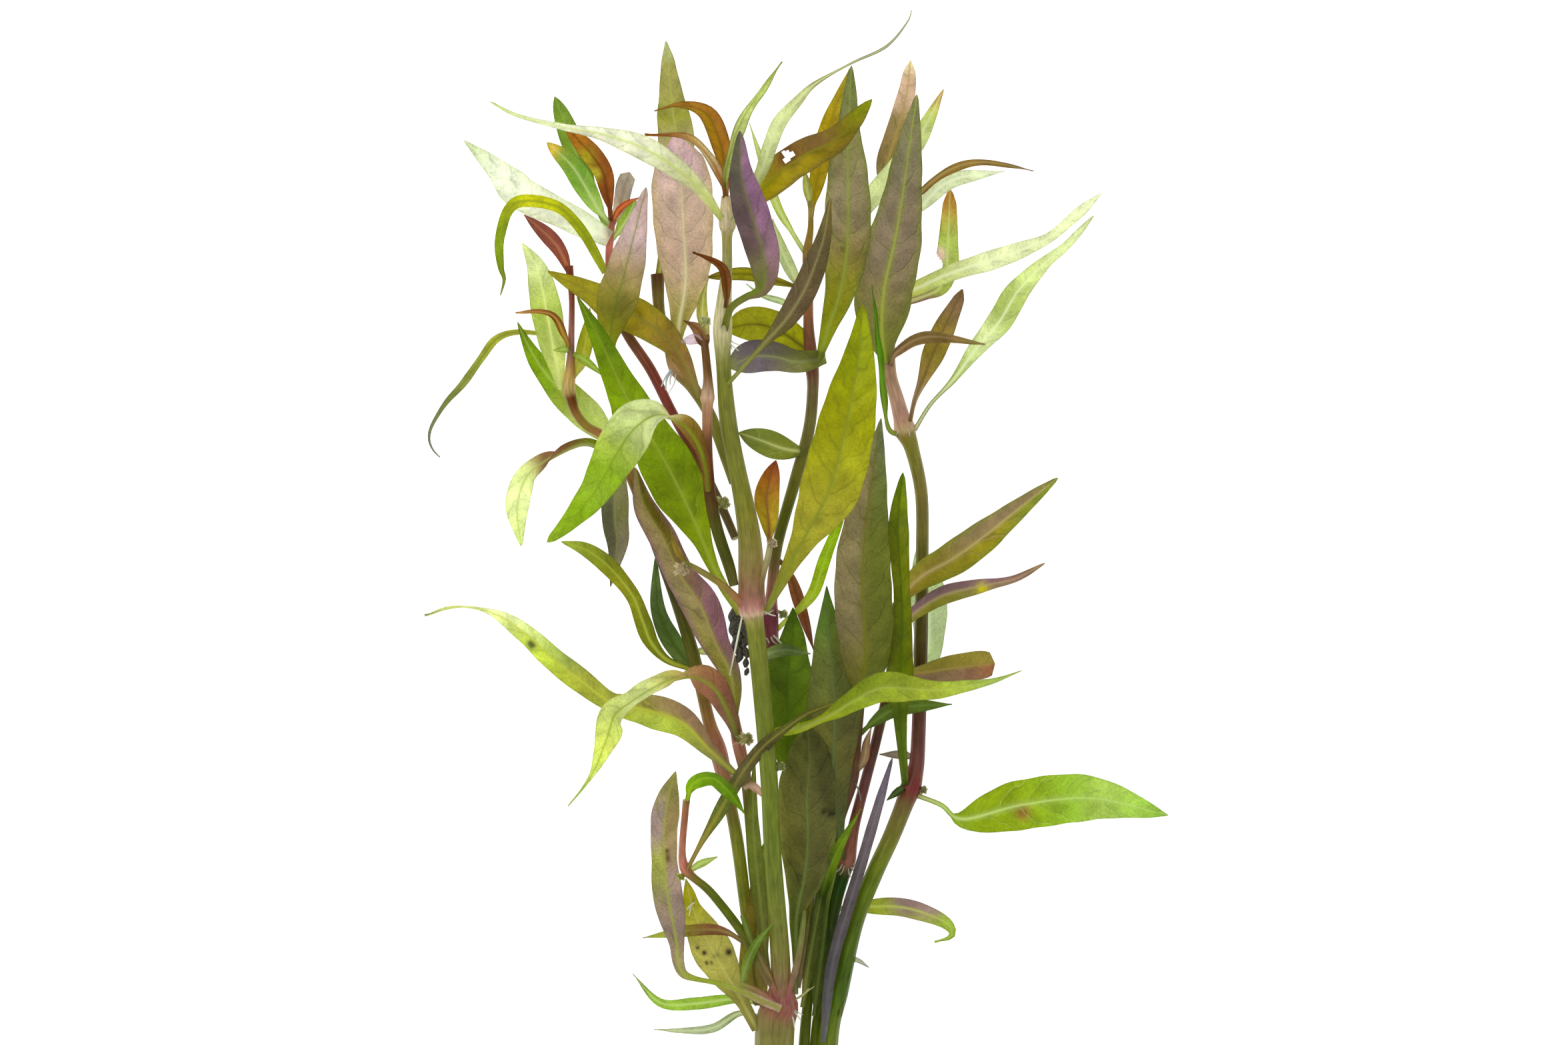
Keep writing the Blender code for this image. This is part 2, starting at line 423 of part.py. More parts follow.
leaf("leaf_middle_yellow_olive", "olive", 7.2,
     [(4.2, 155.6, 30.2, 0), (-2.0, 159.6, 31.0, 0), (-13.0, 166.0, 31.6, 0)], peak=0.5, petiole=0.04)
leaf("leaf_middle_grey_purple", "purple", 6.2,
     [(4.9, 154.0, 32.7, 0), (-3.0, 154.4, 35.0, 0), (-12.3, 149.4, 35.6, 0)], peak=0.5, petiole=0.04)
leaf("leaf_right_grey_tall", "mauve", 12.4,
     [(22.8, 154.6, 23.2, 180), (21.8, 162.0, 28.4, 180), (24.4, 183.0, 30.8, 180), (29.9, 213.8, 28.0, 180)],
     rows=9, petiole=0.06, peak=0.42)
leaf("leaf_right_brown_behind", "brown", 5.8,
     [(25.8, 186.6, 21.7, 180), (22.8, 197.0, 17.6, 180), (25.6, 209.0, 10.0, 180), (28.7, 221.8, 0.36, 180)],
     point=1.3, peak=0.5)
leaf("leaf_right_pale_behind", "pale", 4.6,
     [(6.5, 179.2, 30.6, 0), (14.0, 184.4, 27.8, 0), (23.0, 194.6, 25.6, 0), (36.0, 215.3, 21.0, 0)], peak=0.55)

# The right side
leaf("leaf_right_orange_tip", "green", 5.8,
     [(25.9, 166.8, 20.5, 0), (34.0, 168.8, 17.8, 0), (37.2, 176.0, 16.4, 0), (37.7, 192.6, 14.0, 0)], peak=0.4)
leaf("leaf_right_pale_upper", "pale", 4.6,
     [(25.6, 168.2, 23.6, 0), (36.0, 173.0, 23.6, 0), (52.0, 178.8, 19.6, 0), (71.7, 192.0, 11.0, 0)])
leaf("leaf_right_pale_lower", "pale", 7.0,
     [(29.9, 139.2, 20.4, 0), (35.5, 146.8, 23.0, 0), (46.0, 160.0, 21.0, 0), (58.0, 175.4, 15.2, 0),
      (70.0, 187.0, 8.0, 0)], rows=8, petiole=0.22, peak=0.4)
leaf("leaf_right_brown_small", "brown", 5.2,
     [(28.6, 141.2, 22.0, 0), (30.2, 147.5, 24.8, 0), (33.4, 157.0, 26.0, 0), (40.2, 170.0, 24.0, 0)],
     petiole=0.2, peak=0.5)
leaf("leaf_front_lime", "lime", 13.6,
     [(-3.7, 98.2, 34.2, 0), (2.0, 109.0, 39.6, 0), (10.6, 128.5, 45.6, 0), (15.4, 148.0, 48.0, 0),
      (17.7, 166.2, 46.6, 0)], rows=10, petiole=0.1, peak=0.55, point=1.8)
leaf("leaf_centre_mauve_wide", "mauve", 13.0,
     [(17.7, 78.1, 21.8, 180), (17.9, 79.6, 25.5, 180), (17.7, 83.5, 30.0, 180), (17.3, 92.0, 33.0, 180), (18.2, 112.0, 35.8, 180), (21.8, 141.0, 34.4, 180)],
     rows=9, petiole=0.05, peak=0.42, point=1.7)
leaf("leaf_right_dark_green", "green", 5.4,
     [(27.3, 59.0, 15.0, 0), (25.8, 73.0, 23.0, 0), (26.2, 84.0, 29.4, 0), (26.2, 104.0, 39.6, 0),
      (26.7, 128.8, 40.0, 0)], rows=8)
leaf("leaf_right_olive_long", "olive", 6.6,
     [(26.1, 100.0, 21.8, 0), (36.0, 107.6, 22.6, 0), (48.0, 116.6, 19.6, 0), (61.7, 127.6, 15.0, 0)], petiole=0.04)
leaf("leaf_right_mauve_long", "mauve", 4.5,
     [(26.8, 95.6, 20.2, 0), (34.0, 101.0, 19.6, 0), (46.0, 103.4, 17.4, 0), (59.0, 108.4, 14.4, 0)], petiole=0.04)
leaf("leaf_right_pale_back", "pale", 8.4,
     [(31.4, 83.4, 11.2, 0), (32.8, 92.0, 8.6, 0), (32.4, 102.0, 8.4, 0), (30.5, 112.5, 9.0, 0)], petiole=0.04)
leaf("leaf_right_low_green", "green", 11.6,
     [(30.4, 55.8, 12.8, 0), (35.5, 53.8, 13.0, 0), (40.5, 50.6, 11.6, 0), (54.0, 53.8, 7.0, 0),
      (70.0, 55.2, 3.6, 0), (87.0, 51.3, 0.34, 0)], rows=10, petiole=0.16, peak=0.42, point=1.6)
leaf("leaf_low_right_strap", "mauve", 2.4,
     [(8.9, 1.0, 7.4, 0), (10.6, 15.0, 9.4, 0), (14.5, 28.0, 11.4, 0), (19.6, 45.0, 14.0, 0),
      (24.4, 64.4, 17.4, 0)], petiole=0.02)

# The left side
leaf("leaf_left_arch_front", "lime", 10.6,
     [(-18.0, 125.6, 40.4, 180), (-18.4, 133.0, 43.6, 170), (-22.5, 139.6, 47.6, 140), (-29.5, 141.4, 49.6, 60),
      (-36.5, 135.5, 47.0, 20), (-44.0, 124.0, 40.6, 0), (-53.2, 113.2, 31.0, 0)], rows=10, petiole=0.06, peak=0.5)
leaf("leaf_left_big_green", "green", 12.0,
     [(-10.2, 98.4, 31.0, 0), (-16.0, 107.2, 32.4, 0), (-24.0, 124.0, 34.0, 0), (-34.0, 143.5, 35.4, 0),
      (-46.6, 168.5, 36.0, 0)], rows=10, petiole=0.1, peak=0.5)
leaf("leaf_left_mauve_slant", "mauve", 9.4,
     [(-11.4, 74.5, 23.6, 180), (-14.0, 88.0, 28.6, 180), (-22.5, 103.8, 30.4, 180), (-33.5, 130.0, 28.0, 180)],
     rows=8, petiole=0.12, peak=0.5)
leaf("leaf_left_hanging_grey", "mauve", 6.6,
     [(-36.7, 130.7, 22.7, 180), (-37.2, 122.0, 23.6, 180), (-37.6, 112.0, 21.6, 180), (-39.2, 103.2, 19.0, 180)],
     peak=0.5)
leaf("leaf_left_olive_bend", "olive", 4.8,
     [(-21.3, 84.8, 18.2, 0), (-29.0, 89.4, 21.4, 0), (-33.8, 100.0, 24.2, 0), (-41.0, 109.2, 24.2, 0),
      (-50.2, 113.4, 21.0, 0)], rows=8)
leaf("leaf_left_arch_pale", "pale", 7.8,
     [(-12.7, 70.2, 22.8, 180), (-13.4, 78.4, 27.0, 170), (-18.5, 83.8, 30.6, 150), (-26.0, 82.4, 31.0, 60),
      (-34.0, 77.6, 29.4, 30), (-40.0, 70.5, 23.0, 10), (-49.0, 53.3, 8.0, 0)], rows=10, petiole=0.06, peak=0.45)
leaf("leaf_far_left_long", "lime", 8.0,
     [(-10.8, 60.2, 18.8, 0), (-18.0, 66.4, 20.2, 0), (-29.0, 74.4, 21.0, 0), (-41.0, 79.2, 18.6, 0),
      (-54.0, 88.2, 11.0, 0), (-65.0, 96.0, 5.0, 0), (-76.0, 98.6, 1.6, 30), (-81.3, 96.7, 0.48, 60)],
     rows=12, petiole=0.08, peak=0.4)
leaf("leaf_middle_olive_strap", "olive", 3.5,
     [(-21.0, 40.2, 15.4, 180), (-19.4, 46.0, 16.4, 180), (-14.5, 55.5, 19.6, 180), (-8.6, 65.0, 28.0, 180),
      (-2.0, 71.2, 32.4, 180), (10.5, 76.7, 29.4, 180)], rows=9, petiole=0.12)
leaf("leaf_middle_lime_cross", "lime", 7.8,
     [(-1.9, 70.4, 29.0, 0), (6.0, 72.0, 30.4, 0), (14.0, 76.6, 34.0, 0), (24.0, 80.8, 35.4, 0),
      (38.0, 80.4, 30.6, 0), (53.5, 84.2, 23.0, 0)], rows=10, petiole=0.16, peak=0.4)

# The middle and the foot
leaf("leaf_middle_dark_green", "green", 9.6,
     [(2.4, 58.6, 14.7, 0), (0.6, 66.0, 17.4, 0), (0.6, 76.0, 20.0, 0), (1.9, 90.0, 23.6, 0), (2.0, 98.3, 25.6, 0)], petiole=0.03, peak=0.55)
leaf("leaf_middle_grey_olive", "olive", 9.6,
     [(13.6, 42.4, 13.4, 180), (12.6, 50.0, 17.4, 180), (12.6, 60.0, 20.0, 180), (10.7, 79.0, 27.0, 180), (9.5, 103.8, 28.8, 180)],
     rows=8, petiole=0.03, peak=0.6)
leaf("leaf_front_dark_olive", "olive", 13.0,
     [(2.8, 12.0, 15.1, 180), (2.9, 24.0, 15.4, 180), (3.4, 44.0, 18.8, 180), (5.5, 71.8, 24.6, 180)],
     rows=9, petiole=0.2, peak=0.5, point=1.4)
leaf("leaf_low_left_mauve", "mauve", 6.4,
     [(-1.6, 8.6, 16.1, 180), (-12.0, 12.3, 16.4, 180), (-21.0, 14.6, 15.0, 180), (-24.8, 20.0, 13.2, 180),
      (-25.6, 32.0, 12.2, 180), (-27.2, 47.0, 10.4, 180), (-24.4, 61.3, 8.0, 180)], rows=11, petiole=0.3, peak=0.5)
leaf("leaf_low_left_yellow", "olive", 10.8,
     [(-6.9, 3.6, 10.4, 0), (-11.0, 11.0, 8.8, 0), (-17.0, 22.0, 7.6, 0), (-22.3, 37.0, 6.4, 0)],
     petiole=0.03, peak=0.45)
leaf("leaf_low_sheath", "olive", 5.2,
     [(-5.7, 9.6, 11.2, 0), (-8.2, 13.6, 12.0, 0), (-9.4, 20.0, 11.2, 0), (-8.0, 32.0, 11.6, 0), (-5.0, 45.5, 14.6, 0)], petiole=0.03)
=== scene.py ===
"""A loose bunch of cut Alternanthera reineckii stems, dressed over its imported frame.

Places are in millimetres as the bunch lies: x to the right, y from the cut ends to the tips and
z up from the surface. Colours are the ones the eye sees with light behind the leaf.
"""

import math

import bpy
import numpy as np
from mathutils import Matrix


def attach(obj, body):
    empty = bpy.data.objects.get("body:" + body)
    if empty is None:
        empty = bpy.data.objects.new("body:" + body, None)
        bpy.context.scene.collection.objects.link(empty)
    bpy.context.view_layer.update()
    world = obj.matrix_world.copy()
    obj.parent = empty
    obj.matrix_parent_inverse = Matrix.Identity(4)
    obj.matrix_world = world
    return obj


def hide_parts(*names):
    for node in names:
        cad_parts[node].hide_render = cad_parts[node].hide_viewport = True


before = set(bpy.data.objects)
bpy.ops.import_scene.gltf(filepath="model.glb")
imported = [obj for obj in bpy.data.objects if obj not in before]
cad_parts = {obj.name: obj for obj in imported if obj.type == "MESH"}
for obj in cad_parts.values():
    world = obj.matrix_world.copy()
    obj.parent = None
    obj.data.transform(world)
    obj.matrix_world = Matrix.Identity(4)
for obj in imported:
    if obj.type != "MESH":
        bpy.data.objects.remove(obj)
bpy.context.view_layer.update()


# The stem tissue.
# Living epidermis over watery green pith: a waxy sheen, fine fibres that run lengthwise about
# every half millimetre, and enough light let through that a stem never goes black.

FIBRE_PITCH = 0.45
FIBRE_LENGTH = 6.0
STEM_BLOTCH = 3.0
STEM_LIGHTER = 1.25
STEM_RICHER = 1.04
STEM_THROUGH = 0.5
STEM_INNER_GAMMA = 0.62
GLOW_RICHER = 1.12
NOISE_SPAN = {"From Min": 0.3, "From Max": 0.7}


def colour(text):
    """An sRGB hex value as linear red, green and blue."""
    values = np.array([int(text[i : i + 2], 16) / 255.0 for i in (1, 3, 5)])
    return np.where(values <= 0.04045, values / 12.92, ((values + 0.055) / 1.055) ** 2.4)


def add(tree, kind, inputs=(), **settings):
    """A new node. Each input is a value, a socket, or a node whose first output is meant."""
    node = tree.nodes.new("ShaderNode" + kind)
    for setting, value in settings.items():
        setattr(node, setting, value)
    for socket, value in dict(inputs).items():
        if isinstance(value, bpy.types.Node):
            value = value.outputs[0]
        if isinstance(value, bpy.types.NodeSocket):
            tree.links.new(value, node.inputs[socket])
        else:
            node.inputs[socket].default_value = value
    return node


def empty_material(name):
    material = bpy.data.materials.new(name)
    material.use_nodes = True
    material.node_tree.nodes.clear()
    return material, material.node_tree


stem_tissue, tree = empty_material("stem epidermis")
shade = add(tree, "Attribute", attribute_name="upper")
place = add(tree, "Attribute", attribute_name="place").outputs["Vector"]
drawn_out = (1.0 / FIBRE_PITCH, 1.0 / FIBRE_LENGTH, 1.0 / FIBRE_PITCH)
along_stem = add(tree, "VectorMath", {0: place, 1: drawn_out}, operation="MULTIPLY")
fibres = add(
    tree, "TexNoise", {"Vector": along_stem, "Scale": 1.0, "Detail": 3.0, "Roughness": 0.6},
)
blotches = add(tree, "TexNoise", {"Vector": place, "Scale": 1.0 / STEM_BLOTCH, "Detail": 2.0})
darker = add(tree, "MapRange", {"Value": fibres, **NOISE_SPAN, "To Min": 0.64, "To Max": 1.24})
patch = add(tree, "MapRange", {"Value": blotches, **NOISE_SPAN, "To Min": 0.86, "To Max": 1.12})
both = add(tree, "Math", {0: darker, 1: patch}, operation="MULTIPLY")
lively = add(
    tree, "HueSaturation", {"Saturation": STEM_RICHER, "Value": STEM_LIGHTER, "Color": shade},
)
tinted = add(tree, "VectorMath", {0: lively, "Scale": both}, operation="SCALE")
relief = add(tree, "Bump", {"Height": fibres, "Strength": 0.3, "Distance": 0.0002})
skin = add(
    tree, "BsdfPrincipled",
    {"Base Color": tinted, "Roughness": 0.36, "Specular IOR Level": 0.45, "Normal": relief},
)
inner = add(tree, "Gamma", {"Color": tinted, "Gamma": STEM_INNER_GAMMA})
warm = add(tree, "HueSaturation", {"Saturation": GLOW_RICHER, "Color": inner})
inside = add(tree, "BsdfTranslucent", {"Color": warm})
mix = add(tree, "MixShader", {0: STEM_THROUGH, 1: skin, 2: inside})
add(tree, "OutputMaterial", {"Surface": mix})


# The leaf tissue.
# A thin, faintly downy blade that glows with light from behind. Side veins stand about 7 mm
# apart and loop forwards. Each is a pale thread in the midrib's colour, which also stands in for
# its lit side, with a painted shadow beside it. Between the veins the blade is painted lighter on
# one side of each vein and darker on the other, as shade on its bulges. Netted veins cut the blade
# into cells of about a millimetre. The red pigment lies in specks.

VEIN_SPACING = 7.0
VEIN_STAGGER = 0.45
VEIN_LEAN = 0.55
VEIN_LOOP = 0.8
VEIN_WANDER = 7.0
VEIN_WIDTH = 0.035
VEIN_SHADOW_WIDTH = 0.06
CELL_SIZE = 1.1
CELL_LINE = 0.12
CELL_PALER = 0.14
SPECK_SIZE = 0.42
SPECK_HEIGHT = 0.3
CLOUD_SIZE = 4.5
MARGIN_WIDTH = 0.3
MARGIN_TONE = 0.74
LEAF_THROUGH = 0.72
LEAF_GLOW = 1.14
LEAF_GLOW_GAMMA = 0.5
FADE_OUT = {"From Min": 0.0, "To Min": 1.0, "To Max": 0.0}


def leaf_tissue(name, attribute, vein_height, specks, thread, shadow):
    """The skin of one face: it reads its own colour, and the midrib's, off the mesh."""
    material, tree = empty_material(name)
    shade = add(tree, "Attribute", attribute_name=attribute)
    rib = add(tree, "Attribute", attribute_name="rib")
    place = add(tree, "Attribute", attribute_name="place").outputs["Vector"]
    split = add(tree, "SeparateXYZ", {0: place})
    across, along, half_width = split.outputs

    out = add(tree, "Math", {0: across}, operation="ABSOLUTE")
    squared = add(tree, "Math", {0: out, 1: 2.0}, operation="POWER")
    bend = add(tree, "Math", {0: squared, 1: half_width}, operation="DIVIDE")
    lean = add(tree, "Math", {0: out, 1: VEIN_LEAN}, operation="MULTIPLY")
    curve = add(tree, "Math", {0: bend, 1: VEIN_LOOP, 2: lean}, operation="MULTIPLY_ADD")
    wander = add(tree, "TexNoise", {"Vector": place, "Scale": 0.2, "Detail": 1.0})
    drift = add(tree, "Math", {0: wander, 1: VEIN_WANDER, 2: along}, operation="MULTIPLY_ADD")
    start = add(tree, "Math", {0: drift, 1: curve}, operation="SUBTRACT")
    opposite = add(tree, "Math", {0: across, 1: 0.0}, operation="GREATER_THAN")
    later = VEIN_SPACING * VEIN_STAGGER
    offset = add(tree, "Math", {0: opposite, 1: later, 2: start}, operation="MULTIPLY_ADD")
    beat = add(tree, "Math", {0: offset, 1: VEIN_SPACING}, operation="DIVIDE")
    saw = add(tree, "Math", {0: beat}, operation="FRACT")
    away = add(tree, "Math", {0: saw, 1: 0.5}, operation="SUBTRACT")
    distance = add(tree, "Math", {0: away}, operation="ABSOLUTE")
    vein = add(
        tree, "MapRange", {"Value": distance, "From Max": VEIN_WIDTH, **FADE_OUT},
        interpolation_type="SMOOTHSTEP",
    )
    # Painted shadow: a dark band just past each vein thread, as if the raised vein shaded the blade
    # beside it; shadow sets how dark it is.
    beside = add(tree, "Math", {0: away, 1: VEIN_SHADOW_WIDTH}, operation="SUBTRACT")
    beside_far = add(tree, "Math", {0: beside}, operation="ABSOLUTE")
    painted_vein_shadow = add(
        tree, "MapRange",
        {"Value": beside_far, "From Max": VEIN_SHADOW_WIDTH, **FADE_OUT, "To Min": shadow},
        interpolation_type="SMOOTHSTEP",
    )
    puff = add(
        tree, "MapRange", {"Value": distance, "From Min": 0.0, "From Max": 0.5},
        interpolation_type="SMOOTHSTEP",
    )
    # Painted light and shade on the bulges between veins: lighter on one side of each vein and
    # darker on the side where its painted shadow falls.
    painted_bulge_shade = add(
        tree, "MapRange",
        {"Value": saw, "From Min": 0.0, "From Max": 1.0, "To Min": 1.06, "To Max": 0.94},
    )
    from_edge = add(tree, "Math", {0: half_width, 1: out}, operation="SUBTRACT")
    margin = add(
        tree, "MapRange",
        {"Value": from_edge, "From Min": 0.0, "From Max": MARGIN_WIDTH, "To Min": MARGIN_TONE,
         "To Max": 1.0},
    )

    net = add(
        tree, "TexVoronoi", {"Vector": place, "Scale": 1.0 / CELL_SIZE}, feature="DISTANCE_TO_EDGE",
    )
    mesh_line = add(tree, "MapRange", {"Value": net, "From Max": CELL_LINE, **FADE_OUT})
    dots = add(
        tree, "TexNoise",
        {"Vector": place, "Scale": 1.0 / SPECK_SIZE, "Detail": 2.0, "Roughness": 0.7},
    )
    clouds = add(tree, "TexNoise", {"Vector": place, "Scale": 1.0 / CLOUD_SIZE, "Detail": 3.0})
    low, high = specks
    fine = add(tree, "MapRange", {"Value": dots, **NOISE_SPAN, "To Min": low, "To Max": high})
    broad = add(tree, "MapRange", {"Value": clouds, **NOISE_SPAN, "To Min": 0.78, "To Max": 1.19})
    grain = add(tree, "Math", {0: fine, 1: broad}, operation="MULTIPLY")
    netted = add(tree, "Math", {0: mesh_line, 1: CELL_PALER, 2: grain}, operation="MULTIPLY_ADD")
    vein_shadow_factor = add(tree, "Math", {0: 1.0, 1: painted_vein_shadow}, operation="SUBTRACT")
    shaded = add(tree, "Math", {0: netted, 1: vein_shadow_factor}, operation="MULTIPLY")
    bulge_shaded = add(tree, "Math", {0: shaded, 1: painted_bulge_shade}, operation="MULTIPLY")
    tone = add(tree, "Math", {0: bulge_shaded, 1: margin}, operation="MULTIPLY")
    tinted = add(tree, "VectorMath", {0: shade, "Scale": tone}, operation="SCALE")
    faint = add(tree, "Math", {0: vein, 1: thread}, operation="MULTIPLY")
    strongest = add(tree, "Math", {0: faint, 1: rib.outputs["Alpha"]}, operation="MAXIMUM")
    veined = add(tree, "Mix", {0: strongest, 6: tinted, 7: rib}, data_type="RGBA").outputs[2]

    lines = add(tree, "Math", {0: vein, 1: vein_height, 2: puff}, operation="MULTIPLY_ADD")
    height = add(tree, "Math", {0: dots, 1: SPECK_HEIGHT, 2: lines}, operation="MULTIPLY_ADD")
    relief = add(tree, "Bump", {"Height": height, "Strength": 0.4, "Distance": 0.0004})
    face = add(
        tree, "BsdfPrincipled",
        {"Base Color": veined, "Roughness": 0.48, "Specular IOR Level": 0.4, "Normal": relief},
    )
    glow = add(tree, "Gamma", {"Color": veined, "Gamma": LEAF_GLOW_GAMMA})
    lighter = add(tree, "VectorMath", {0: glow, "Scale": LEAF_GLOW}, operation="SCALE")
    richer = add(tree, "HueSaturation", {"Saturation": GLOW_RICHER, "Color": lighter})
    glowing = add(tree, "BsdfTranslucent", {"Color": richer})
    mix = add(tree, "MixShader", {0: LEAF_THROUGH, 1: face, 2: glowing})
    add(tree, "OutputMaterial", {"Surface": mix})
    return material


LIVING = [
    stem_tissue,
    leaf_tissue("leaf upper epidermis", "upper", -1.2, (0.78, 1.18), 0.3, 0.22),
    leaf_tissue("leaf lower epidermis", "under", 1.6, (0.68, 1.28), 0.44, 0.34),
]
STEM_SKIN, UPPER_SKIN, UNDER_SKIN = 0, 1, 2


# The main stem.
# The thickest stem, cut square at the foot and swollen and reddish at every node. Its small
# leaves and its flower stalk grow out of the nodes, in one piece with it.

MM = 0.001
MIDDLE_X = 2.8
MIDDLE_Y = 102.3
FINE_STEPS = 24
RING_SPACING = 1.2
RIDGE_DEPTH = 0.035
THINNEST = 0.05
PITH = "#DDE2B4"
BLADE_THICKNESS = 0.26
MARGIN_THINNER = 0.45
THIN_BELOW_WIDTH = 2.4
FOLD_CURVE = 1.35
WAVE_RIGHT = 1.75
WAVE_LEFT = 2.05
RIB_THICKNESS = 0.5
RIB_THINNER = 0.75
RIB_HALF_WIDTH = 0.46
RIB_NARROWER = 0.72
RIB_SHARE = 0.6
RIB_DEPTH = 0.13
RIB_COLUMNS = (0.0, 0.55, 1.15)
STALK_HALF_WIDTH = 0.55
STALK_THICKNESS = 0.85
STALK_SHARE = 0.12
TIP_HALF_WIDTH = 0.12
ROW_SPACING = 1.1
WIDTH_SMOOTHING = (0.1, 0.22, 0.36, 0.22, 0.1)
HALVES_BLEND = 3.0
EDGE_STARTS = 0.6
EDGE_STRENGTH = 0.75
MARK_STRENGTH = 1.6
FAR_UNDER = "#8E6F74"
FAR_UPPER = "#6C7F22"
SHARP_ANGLE = math.radians(50)


def smooth_path(points, spacing):
    """Rows at an even spacing along a Catmull-Rom curve through points, and their run in mm."""
    points = np.array(points, dtype=float)
    ends = np.vstack((2 * points[0] - points[1], points, 2 * points[-1] - points[-2]))
    fine = []
    for i in range(1, len(ends) - 2):
        a, b, c, d = ends[i - 1 : i + 3]
        for t in np.linspace(0.0, 1.0, FINE_STEPS, endpoint=False):
            near = 2 * b + (c - a) * t
            bend = (2 * a - 5 * b + 4 * c - d) * t**2
            turn = (3 * b - a - 3 * c + d) * t**3
            fine.append(0.5 * (near + bend + turn))
    fine.append(points[-1])
    fine = np.array(fine)
    steps = np.linalg.norm(np.diff(fine[:, :3], axis=0), axis=1)
    run = np.concatenate(([0.0], np.cumsum(steps)))
    wanted = np.linspace(0.0, run[-1], max(6, round(run[-1] / spacing)) + 1)
    return np.column_stack([np.interp(wanted, run, column) for column in fine.T]), wanted


def directions(path):
    """At every row of a path, up towards the sky and across to the right."""
    way = np.gradient(path[:, :3], axis=0)
    way /= np.linalg.norm(way, axis=1)[:, None]
    facing = np.array((0.0, 0.0, 1.0)) - way[:, 2:3] * way
    facing /= np.linalg.norm(facing, axis=1)[:, None]
    return facing, np.cross(way, facing)


def tube(points, ridges=8, sides=24, spacing=RING_SPACING, end=PITH):
    """A round stalk through points of x, y, z, radius and colour, closed at both ends."""
    rows = [(x, y, z, radius, *colour(shade)) for x, y, z, radius, shade in points]
    path, run = smooth_path(rows, spacing)
    path[:, 3] = np.maximum(path[:, 3], THINNEST)
    path[:, 4:] = np.clip(path[:, 4:], 0.0, 1.0)
    facing, side = directions(path)
    angle = np.linspace(0.0, 2 * math.pi, sides, endpoint=False)
    ring = (1.0 + RIDGE_DEPTH * np.cos(ridges * angle))[None, :, None]
    cosine, sine = np.cos(angle), np.sin(angle)
    out = cosine[None, :, None] * side[:, None, :] + sine[None, :, None] * facing[:, None, :]
    spots = (path[:, None, :3] + path[:, 3, None, None] * ring * out).reshape(-1, 3)
    count = len(path)
    index = np.arange(count * sides).reshape(count, sides)
    turned = np.roll(index, -1, axis=1)
    walls = np.stack((index[:-1], turned[:-1], turned[1:], index[1:]), axis=-1).reshape(-1, 4)
    wide = path[:, 3:4]
    runs = np.broadcast_to(run[:, None], (count, sides))
    place = np.stack((wide * cosine, runs, wide * sine), axis=-1).reshape(-1, 3)

    rims = np.vstack((spots[:sides], spots[-sides:]))
    step = np.arange(sides)
    after = (step + 1) % sides
    foot, head = count * sides, (count + 1) * sides
    middle = np.full(sides, (count + 2) * sides)
    base = np.stack((middle, foot + after, foot + step), axis=-1)
    top = np.stack((middle + 1, head + step, head + after), axis=-1)
    faces = [*walls.tolist(), *base.tolist(), *top.tolist()]
    spots = np.vstack((spots, rims, path[[0, -1], :3]))
    capped = 2 * sides + 2
    tint = np.vstack((np.repeat(path[:, 4:7], sides, axis=0), np.tile(colour(end), (capped, 1))))
    return {
        "spots": spots, "faces": faces, "skins": [STEM_SKIN] * len(faces),
        "place": np.vstack((place, np.zeros((capped, 3)))), "upper": tint, "under": tint,
        "rib": np.zeros((len(spots), 4)),
    }


def stops(shades, at):
    """Colours from base to tip, read at each share of the length."""
    values = np.array([colour(shade) for shade in shades.split()])
    where = np.linspace(0.0, 1.0, len(values))
    return np.column_stack([np.interp(at, where, column) for column in values.T])


def mixed(one, other, share):
    return one + (other - one) * np.asarray(share)[..., None]


def half_widths(run, width, widths, petiole, peak, point, phase):
    """Half the width of a blade at each row, and how far each row is still stalk."""
    along = run / run[-1]
    t = np.clip((along - petiole) / (1.0 - petiole), 0.0, 1.0)
    if widths:
        measured = np.interp(along, np.linspace(0.0, 1.0, len(widths)), widths) / 2
        half = np.convolve(np.pad(measured, 2, mode="edge"), WIDTH_SMOOTHING, mode="valid")
        half *= np.minimum(1.0, np.sqrt((run[-1] - run) / (1.2 * widths[-1] + 0.3) + 0.01))
        half = np.maximum(half, TIP_HALF_WIDTH)
    else:
        rise = (t / peak) ** (point * peak)
        fall = ((1.0 - t) / (1.0 - peak)) ** (point * (1.0 - peak))
        least = STALK_HALF_WIDTH * (1.0 - t) + TIP_HALF_WIDTH * t
        half = np.minimum(np.maximum(width / 2 * rise * fall, least), width / 2)
    half *= 1.0 + 0.02 * np.sin(run / 3.1 + phase) + 0.015 * np.sin(run / 1.3 + 2 * phase)
    return half, np.clip(1.0 - t / STALK_SHARE, 0.0, 1.0)


def columns_across(along, half, side_cells):
    """Where the columns of a blade stand, their share of its half width, and half its midrib."""
    rib_half = np.minimum(RIB_HALF_WIDTH * (1.0 - RIB_NARROWER * along), RIB_SHARE * half)
    out = [share * rib_half for share in RIB_COLUMNS]
    out += [out[2] + (half - out[2]) * k / side_cells for k in range(1, side_cells + 1)]
    out = np.stack(out, axis=1)
    x = np.concatenate((-out[:, :0:-1], out), axis=1)
    return x, np.abs(x) / half[:, None], rib_half[:, None]


def with_rims(cells, shift):
    """The faces of both skins, and of the walls that join their open edges."""
    border = {}
    for a, b, c, d in cells.tolist():
        for one in ((a, b), (b, c), (c, d), (d, a)):
            if border.pop(one[::-1], None) is None:
                border[one] = True
    rims = [[b, a, a + shift, b + shift] for a, b in border]
    skins = [UPPER_SKIN] * len(cells) + [UNDER_SKIN] * len(cells) + [UPPER_SKIN] * len(rims)
    return cells.tolist() + (cells[:, ::-1] + shift).tolist() + rims, skins


